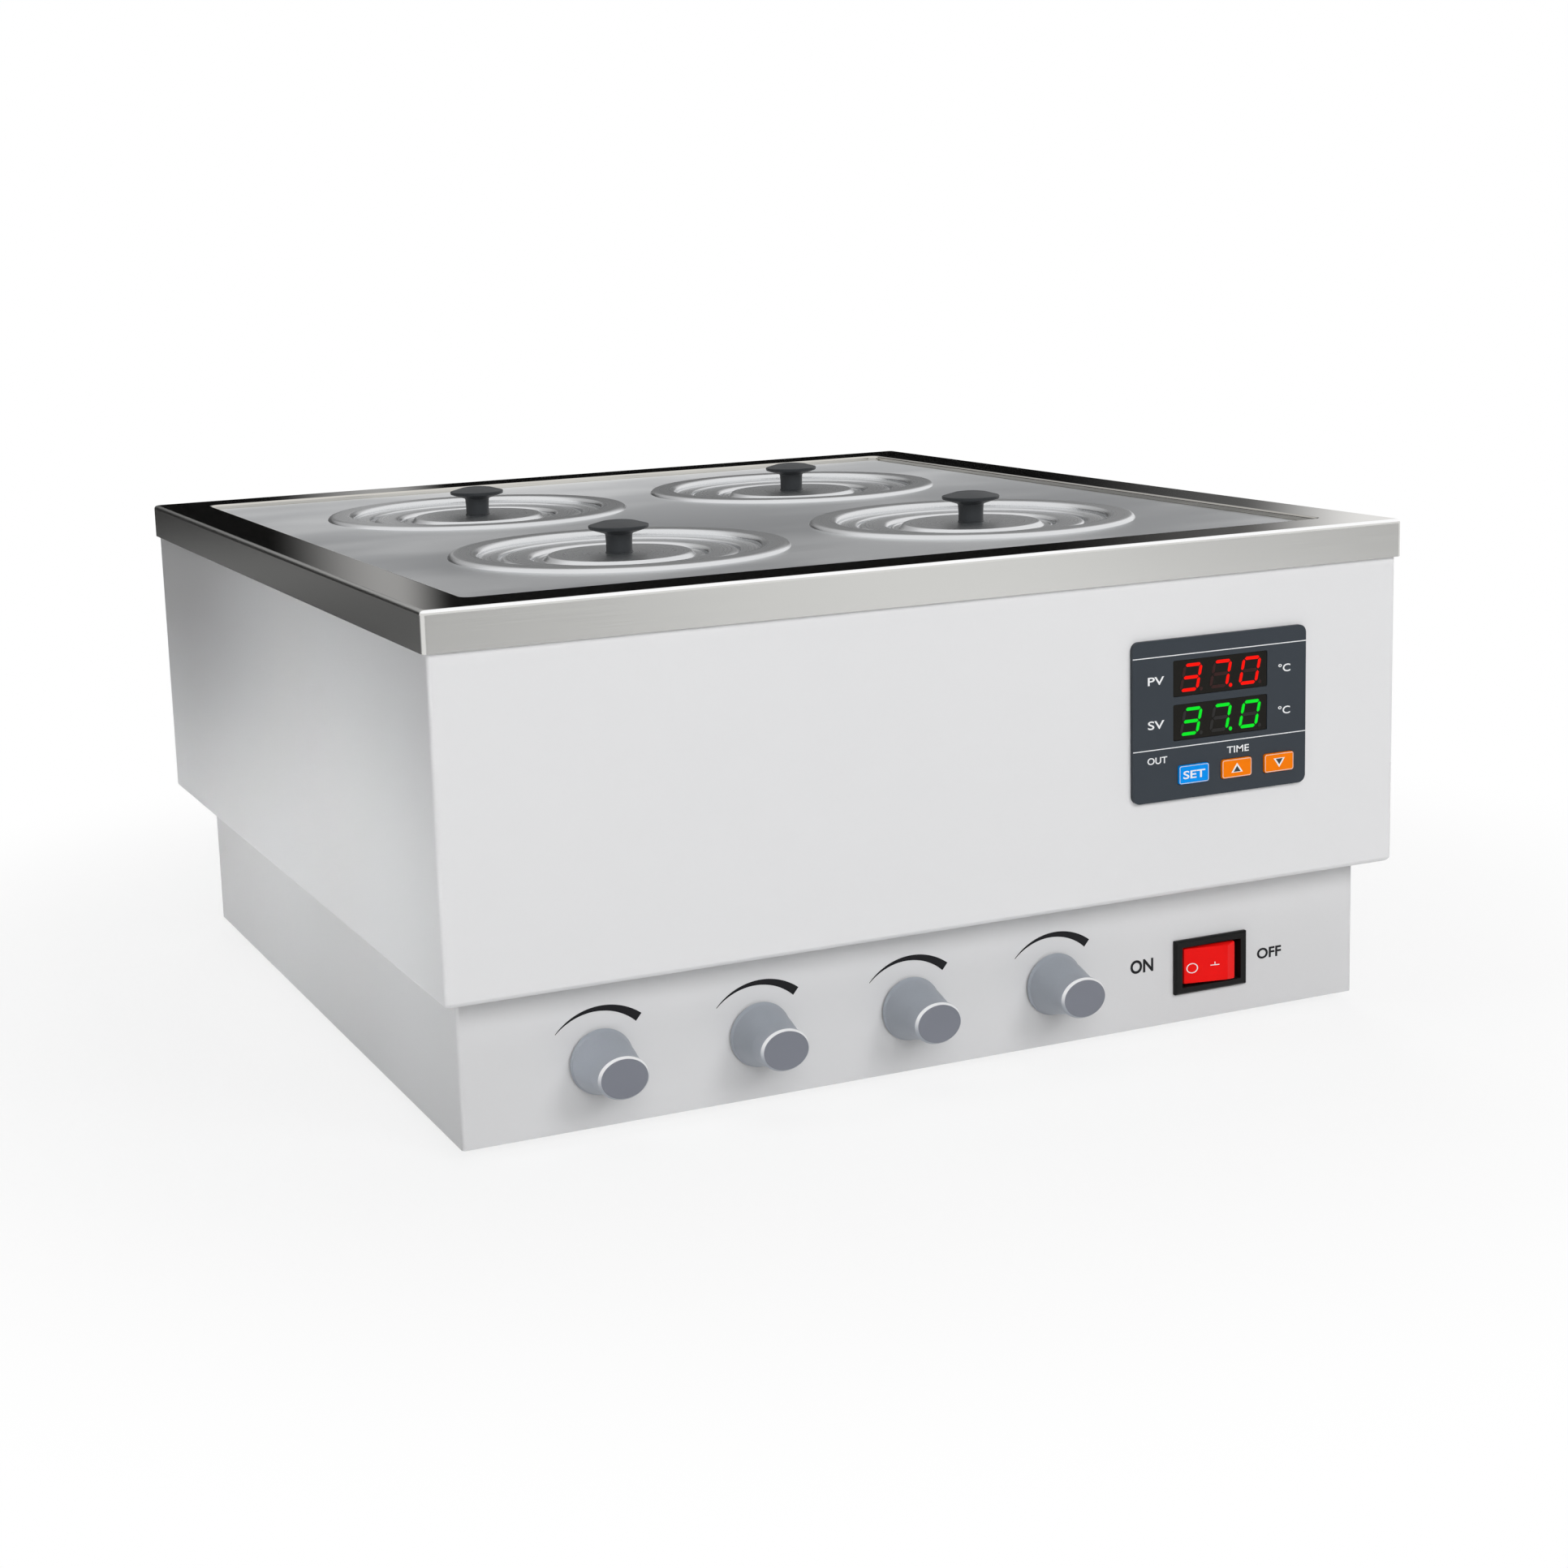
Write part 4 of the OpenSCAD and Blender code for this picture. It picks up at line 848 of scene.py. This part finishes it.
def panel_lines():
    """Two thin lines printed across the panel."""
    shape = Shape()
    x = (panel_low[0] + panel_high[0]) / 2
    half = (panel_high[0] - panel_low[0]) / 2 - 0.05
    for below_top in (6.0, 39.7):
        line = bar(half, 0.16, -0.02, 0.05)
        shape.solid(facing_front(line, (x, panel_low[1], panel_high[2] - below_top)))
    shape.mesh("panel_lines", white_ink, "root", slot="slate_panel")


def key_piece(node, material, slot):
    """Panel key: a soft-edged cap, its hidden flange and a pale outline round its face."""
    low, high = node_box(node)
    x, z = (low[0] + high[0]) / 2, (low[2] + high[2]) / 2
    flange_reach = 1
    half_w = (high[0] - low[0]) / 2 - flange_reach
    half_h = (high[2] - low[2]) / 2 - flange_reach
    cap = slab_rings(half_w, half_h, 1.0, 0, panel_high[1] - low[1], 0.25, 3)
    flange = slab_rings(half_w + flange_reach, half_h + flange_reach, 0.5, 0, 0.8, 0.1, 2)
    shape = Shape().solid(facing_front(cap, (x, panel_high[1], z)))
    shape.solid(facing_front(flange, (x, high[1], z)))
    shape.mesh(node + "_cap", material, node, [node], slot)
    face = low[1]
    line = np.array([[half_w - inset, height, half_h - inset, corner] for inset, height, corner in (
        (0.25, 0, 0.8), (0.25, 0.05, 0.8), (0.45, 0.05, 0.6), (0.45, 0, 0.6))])
    outline = Shape().grid(facing_front(line_rings(line, 5, 0.05), (x, face, z)), wrap_rows=True)
    outline.mesh(node + "_outline", pale_ink, node, slot=slot)
    return x, z, face


def arrow_piece(node, x, z, face, up):
    """Arrow on a key: a pale triangle with a dark heart."""
    sign = 1 if up else -1
    for name, size, rise, material in (("edge", 1.0, 0.05, white_ink), ("heart", 0.62, 0.09, dark_ink)):
        triangle = np.array([[-2.5, -1.6], [2.5, -1.6], [0, 1.9]]) * size * (1, sign)
        triangle[:, 1] -= sign * (1 - size)
        if sign < 0:
            triangle = triangle[::-1]
        arrow = Shape().solid(facing_front(prism(triangle, 0, rise), (x, face, z)))
        arrow.mesh(node + "_arrow_" + name, material, node, slot="key_orange")


# Materials that several pieces share

coat = powder_coat("off_white_powder_coat", 0.745)
# The base's coat is the upper casing's powder coat at a lower level, so the base is coloured darker than
# the upper casing.
base_coat = powder_coat("greyer_powder_coat", 0.655)
charcoal = moulded("charcoal_phenolic", (0.034, 0.037, 0.040), 0.38, gloss=0.2)
knob_grey = knob_plastic()
black_plastic = moulded("black_switch_plastic", (0.008, 0.008, 0.008), 0.34, gloss=0.14)
rocker_red = moulded("rocker_red_plastic", (0.88, 0.006, 0.005), 0.34, gloss=0.12)
slate = moulded("slate_panel_film", (0.038, 0.046, 0.056), 0.42, depth=0.01, scale=1500, gloss=0.18)
display_block = moulded("smoked_display_block", (0.009, 0.008, 0.006), 0.18, depth=0.004, gloss=0.12)
blue_key = moulded("blue_key_rubber", (0.002, 0.29, 0.88), 0.42, gloss=0.08)
orange_key = moulded("orange_key_rubber", (0.99, 0.21, 0.002), 0.42, gloss=0.08)
foot_rubber = moulded("black_foot_rubber", (0.03, 0.03, 0.032), 0.62, depth=0.05)
seal_rubber = moulded("grey_seal_rubber", (0.25, 0.25, 0.25), 0.6)
foam = moulded("open_cell_foam", (0.62, 0.54, 0.36), 0.85, depth=0.4, scale=400)
resin = moulded("control_resin", (0.05, 0.12, 0.26), 0.4)
board = moulded("green_board", (0.03, 0.20, 0.09), 0.45, scale=300)
inlet_plastic = moulded("inlet_plastic", (0.02, 0.02, 0.021), 0.34)
zinc = dull_metal("zinc_plate", (0.60, 0.61, 0.62), 0.30, 240)
motor_metal = dull_metal("plated_motor_steel", (0.46, 0.47, 0.49), 0.34, 300, (1, 1, 0.1))
brass = dull_metal("turned_brass", (0.72, 0.52, 0.22), 0.26)
heater_metal = dull_metal("heat_tinted_sheath", (0.24, 0.24, 0.25), 0.40, 180)
tank_metal = dull_metal("polished_sheet", (0.58, 0.59, 0.60), 0.22, 500, (0.03, 1, 1))
black_ink = ink("black_print", (0.006, 0.006, 0.008))
dark_ink = ink("dark_print", (0.05, 0.05, 0.055))
white_ink = ink("white_print", (0.90, 0.91, 0.92))
pale_ink = ink("pale_key_outline", (0.80, 0.76, 0.70))
red_light = glowing("lit_red_segment", (1.0, 0.004, 0.0), 1.0)
green_light = glowing("lit_green_segment", (0.0, 0.80, 0.02), 1.0)
unlit_red = ink("unlit_red_segment", (0.030, 0.008, 0.007), 0.3)
unlit_green = ink("unlit_green_segment", (0.019, 0.018, 0.017), 0.3)

tank_piece()
upper_casing_piece()
cover_plate_piece()
for tag in places:
    place_pieces(tag)
for number in (1, 2, 3, 4):
    speed_knob_piece(number)
    swoosh_piece(number)
switch_pieces()
panel_lines()
readout("measured_temperature", display_high[2] - display_half, red_light, unlit_red)
readout("set_temperature", display_low[2] + display_half, green_light, unlit_green)
x, z, face = key_piece("set_key", blue_key, "key_blue")
words("set_key_word", "SET", 3.0, (x, face - ink_sink, z - 0.1), white_ink, "set_key", 9.4, 0.016)
arrow_piece("up_key", *key_piece("up_key", orange_key, "key_orange"), up=True)
arrow_piece("down_key", *key_piece("down_key", orange_key, "key_orange"), up=False)

# Name, text, height, width, and the middle's place from the panel's upper left corner
for name, text, height, width, across, down in (
        ("measured_mark", "PV", 3.0, 6.9, 9.8, 14.6), ("set_mark", "SV", 3.1, 6.9, 9.8, 30.6),
        ("upper_degrees", "°C", 3.0, 5.3, 65.4, 15.2), ("lower_degrees", "°C", 3.0, 5.3, 65.4, 30.9),
        ("output_mark", "OUT", 2.5, 8.4, 10.3, 43.7), ("time_mark", "TIME", 2.5, 9.6, 45.1, 43.2)):
    centre = (panel_low[0] + across, panel_low[1] - ink_sink, panel_high[2] - down)
    words(name, text, height, centre, white_ink, "root", width, 0.011)
words("on_mark", "ON", 5.2, (85.3, base_low[1] - ink_sink, 28), black_ink, "root", 10.0, 0.028)
words("off_mark", "OFF", 4.2, (142.3, base_low[1] - ink_sink, 25), black_ink, "root", 11.0, 0.026)

dress(base_coat, "base_casing")
dress(zinc, "bottom_plate", "casing_screws", "motor_screws", "potentiometer_nuts",
      "dial_shaft_1", "dial_shaft_2", "dial_shaft_3", "dial_shaft_4")
dress(foot_rubber, "rubber_feet")
dress(seal_rubber, "rim_gasket")
dress(foam, "insulation_jacket")
dress(heater_metal, "heating_element")
dress(brass, "tank_glands")
dress(tank_metal, "temperature_probe", "perforated_shelf")
dress(motor_metal, "stirrer_motors", *("stirring_rotor_" + tag for tag in places))
dress(resin, "speed_potentiometers")
dress(board, "driver_board")
dress(slate, "panel_fascia")
dress(display_block, "led_displays")
dress(inlet_plastic, "controller_case", "power_inlet")


# Floor, light and camera

def seen_rays(f):
    """1 on the rays of the camera, of gloss and of glass, and 0 on those that carry light."""
    camera, glossy, clear = (f.node("ShaderNodeLightPath", output=ray) for ray in (
        "Is Camera Ray", "Is Glossy Ray", "Is Transmission Ray"))
    return f.maths("MAXIMUM", f.maths("MAXIMUM", camera, glossy), clear)


def matt_to_white(f, whiteness, colour):
    """Surface between a matt colour and plain white light, by how white it is."""
    matt = f.node("ShaderNodeBsdfDiffuse", inputs={"Color": colour})
    white = f.node("ShaderNodeEmission", inputs={"Color": tone(1.0), "Strength": 1.0})
    blend = f.node("ShaderNodeMixShader", inputs=(whiteness, matt, white))
    f.node("ShaderNodeOutputMaterial", inputs={"Surface": blend})
    return f.material


def studio_sheet(name, corners, material):
    """Flat sheet of the studio on four corners, which isn't part of the object."""
    data = bpy.data.meshes.new(name)
    data.from_pydata(corners, [], [(0, 1, 2, 3)])
    data.materials.append(material)
    made = bpy.data.objects.new(name, data)
    bpy.context.scene.collection.objects.link(made)
    return made


def floor_and_world():
    """Pale floor that keeps the shadow near the object and turns white far from it."""
    f = Finish("pale_floor")
    x, y = f.along(0), f.along(1)
    distance = (x * x + y * y).root()
    cover = f.grain(30, 3, 0.5)
    whiteness = seen_rays(f) * distance.ramp(0.24, 0.50, 0.80, 1.0)
    surface = matt_to_white(f, whiteness, f.mixed(cover, tone(0.84), tone(0.86)))
    far = 9.0
    studio_sheet("studio_floor", [(-far, -far, 0), (far, -far, 0), (far, far, 0), (-far, far, 0)],
                 surface)
    world = bpy.data.worlds.new("studio")
    bpy.context.scene.world = world
    world.use_nodes = True
    w = Finish("", world.node_tree)
    dim = w.node("ShaderNodeBackground", inputs={"Color": tone(1.0), "Strength": 0.06})
    plain = w.node("ShaderNodeBackground", inputs={"Color": tone(1.0), "Strength": 1.0})
    w.node("ShaderNodeOutputWorld", inputs={
        "Surface": w.node("ShaderNodeMixShader", inputs=(seen_rays(w), dim, plain))})


def lamp(name, place, aim, width, height, power, spread=180):
    """Soft rectangular lamp that looks at a point; a grid before it narrows its spread."""
    data = bpy.data.lights.new(name, "AREA")
    data.shape = "RECTANGLE"
    data.size = width
    data.size_y = height
    data.energy = power
    data.spread = math.radians(spread)
    made = bpy.data.objects.new(name, data)
    made.location = place
    made.rotation_euler = (Vector(aim) - Vector(place)).to_track_quat("-Z", "Y").to_euler()
    made.visible_camera = False
    made.visible_glossy = False
    bpy.context.scene.collection.objects.link(made)


def studio_card(name, corners, level):
    """Card that only reflections meet: its four corners, and how white it is at each spot."""
    f = Finish(name)
    card = studio_sheet(name, corners, matt_to_white(f, level(f), tone(0.01)))
    card.visible_camera = False
    card.visible_diffuse = False
    card.visible_transmission = False
    card.visible_shadow = False


def back_level(f):
    """Black low down with a pale upright strip and a pale right end; grey to white higher up."""
    x, z = f.along(0), f.along(2)
    strip = x.ramp(0.28, 0.42, 0.0, 0.38) * x.ramp(0.43, 0.50, 1.0, 0.0)
    right = x.ramp(1.3, 1.7, 0.0, 0.12) + x.ramp(1.62, 1.85, 0.0, 0.8)
    high = z.ramp(0.62, 0.82) * (0.46 + z.ramp(0.8, 1.5, 0.0, 0.1) + z.ramp(1.4, 2.2, 0.0, 0.34))
    return f.maths("MAXIMUM", strip + right, high)


def left_level(f):
    """White near the object, then dark, with a grey band across the dark part."""
    y = f.along(1)
    return y.ramp(0.20, 0.80, 0.7, 0.05) + y.ramp(1.05, 1.34, 0.0, 0.19) - y.ramp(1.40, 1.85, 0.0, 0.24)


def front_level(f):
    """Pale between two grey ends."""
    x = f.along(0)
    return 0.03 + x.ramp(0.22, 0.5, 0.0, 0.97) - x.ramp(0.72, 1.0, 0.0, 0.95)


def camera_piece():
    """Camera fitted to the corners of the rim and the casings and to the lids."""
    place = (-0.4223, -0.9482, 0.3008)
    azimuth, elevation, roll = (math.radians(a) for a in (-23.18, 10.13, -2.03))
    back = Vector((math.sin(azimuth) * math.cos(elevation), -math.cos(azimuth) * math.cos(elevation),
                   math.sin(elevation)))
    right = (-back).cross(Vector((0, 0, 1))).normalized()
    up = right.cross(-back)
    across = right * math.cos(roll) + up * math.sin(roll)
    rise = up * math.cos(roll) - right * math.sin(roll)
    turn = Matrix((across, rise, back)).transposed().to_4x4()
    data = bpy.data.cameras.new("front_left_view")
    data.lens = 58.1
    data.sensor_width = 36
    data.shift_x = 0.062
    data.shift_y = -0.062
    camera = bpy.data.objects.new("front_left_view", data)
    camera.matrix_world = Matrix.Translation(place) @ turn
    bpy.context.scene.collection.objects.link(camera)
    bpy.context.scene.camera = camera


floor_and_world()
studio_card("back_card", [(-2.0, 1.9, 0), (2.2, 1.9, 0), (2.2, 1.9, 2.3), (-2.0, 1.9, 2.3)],
            back_level)
studio_card("left_card", [(-1.7, 0.1, 0.004), (-0.2, 0.1, 0.004), (-0.2, 2.6, 0.004),
                          (-1.7, 2.6, 0.004)], left_level)
studio_card("front_card", [(-0.6, -1.9, 0.004), (1.8, -1.9, 0.004), (1.8, -1.0, 0.004),
                           (-0.6, -1.0, 0.004)], front_level)
middle = (0, 0, 0.1)
lamp("key_right", (0.65, -1.95, 1.3), middle, 0.9, 0.9, 16.5)
lamp("fill_left", (-0.5, -1.95, 1.1), middle, 1.1, 1.1, 17.5)
lamp("left_near", (-0.95, -0.95, 0.30), (-0.2, -0.1, 0.08), 0.5, 0.5, 0.4)
lamp("overhead", (0.0, 0.1, 2.0), middle, 2.0, 2.0, 12)
lamp("back_fill", (0.9, 2.3, 1.2), middle, 1.2, 1.2, 24)
lamp("far_grid", (-1.15, 0.22, 0.32), (-0.19, 0.14, 0.05), 0.25, 0.03, 0.036, 12)
lamp("near_grid", (-1.15, -0.08, 0.38), (-0.19, -0.08, 0.095), 0.25, 0.03, 0.056, 15)
camera_piece()
bpy.context.scene.view_settings.view_transform = "Standard"
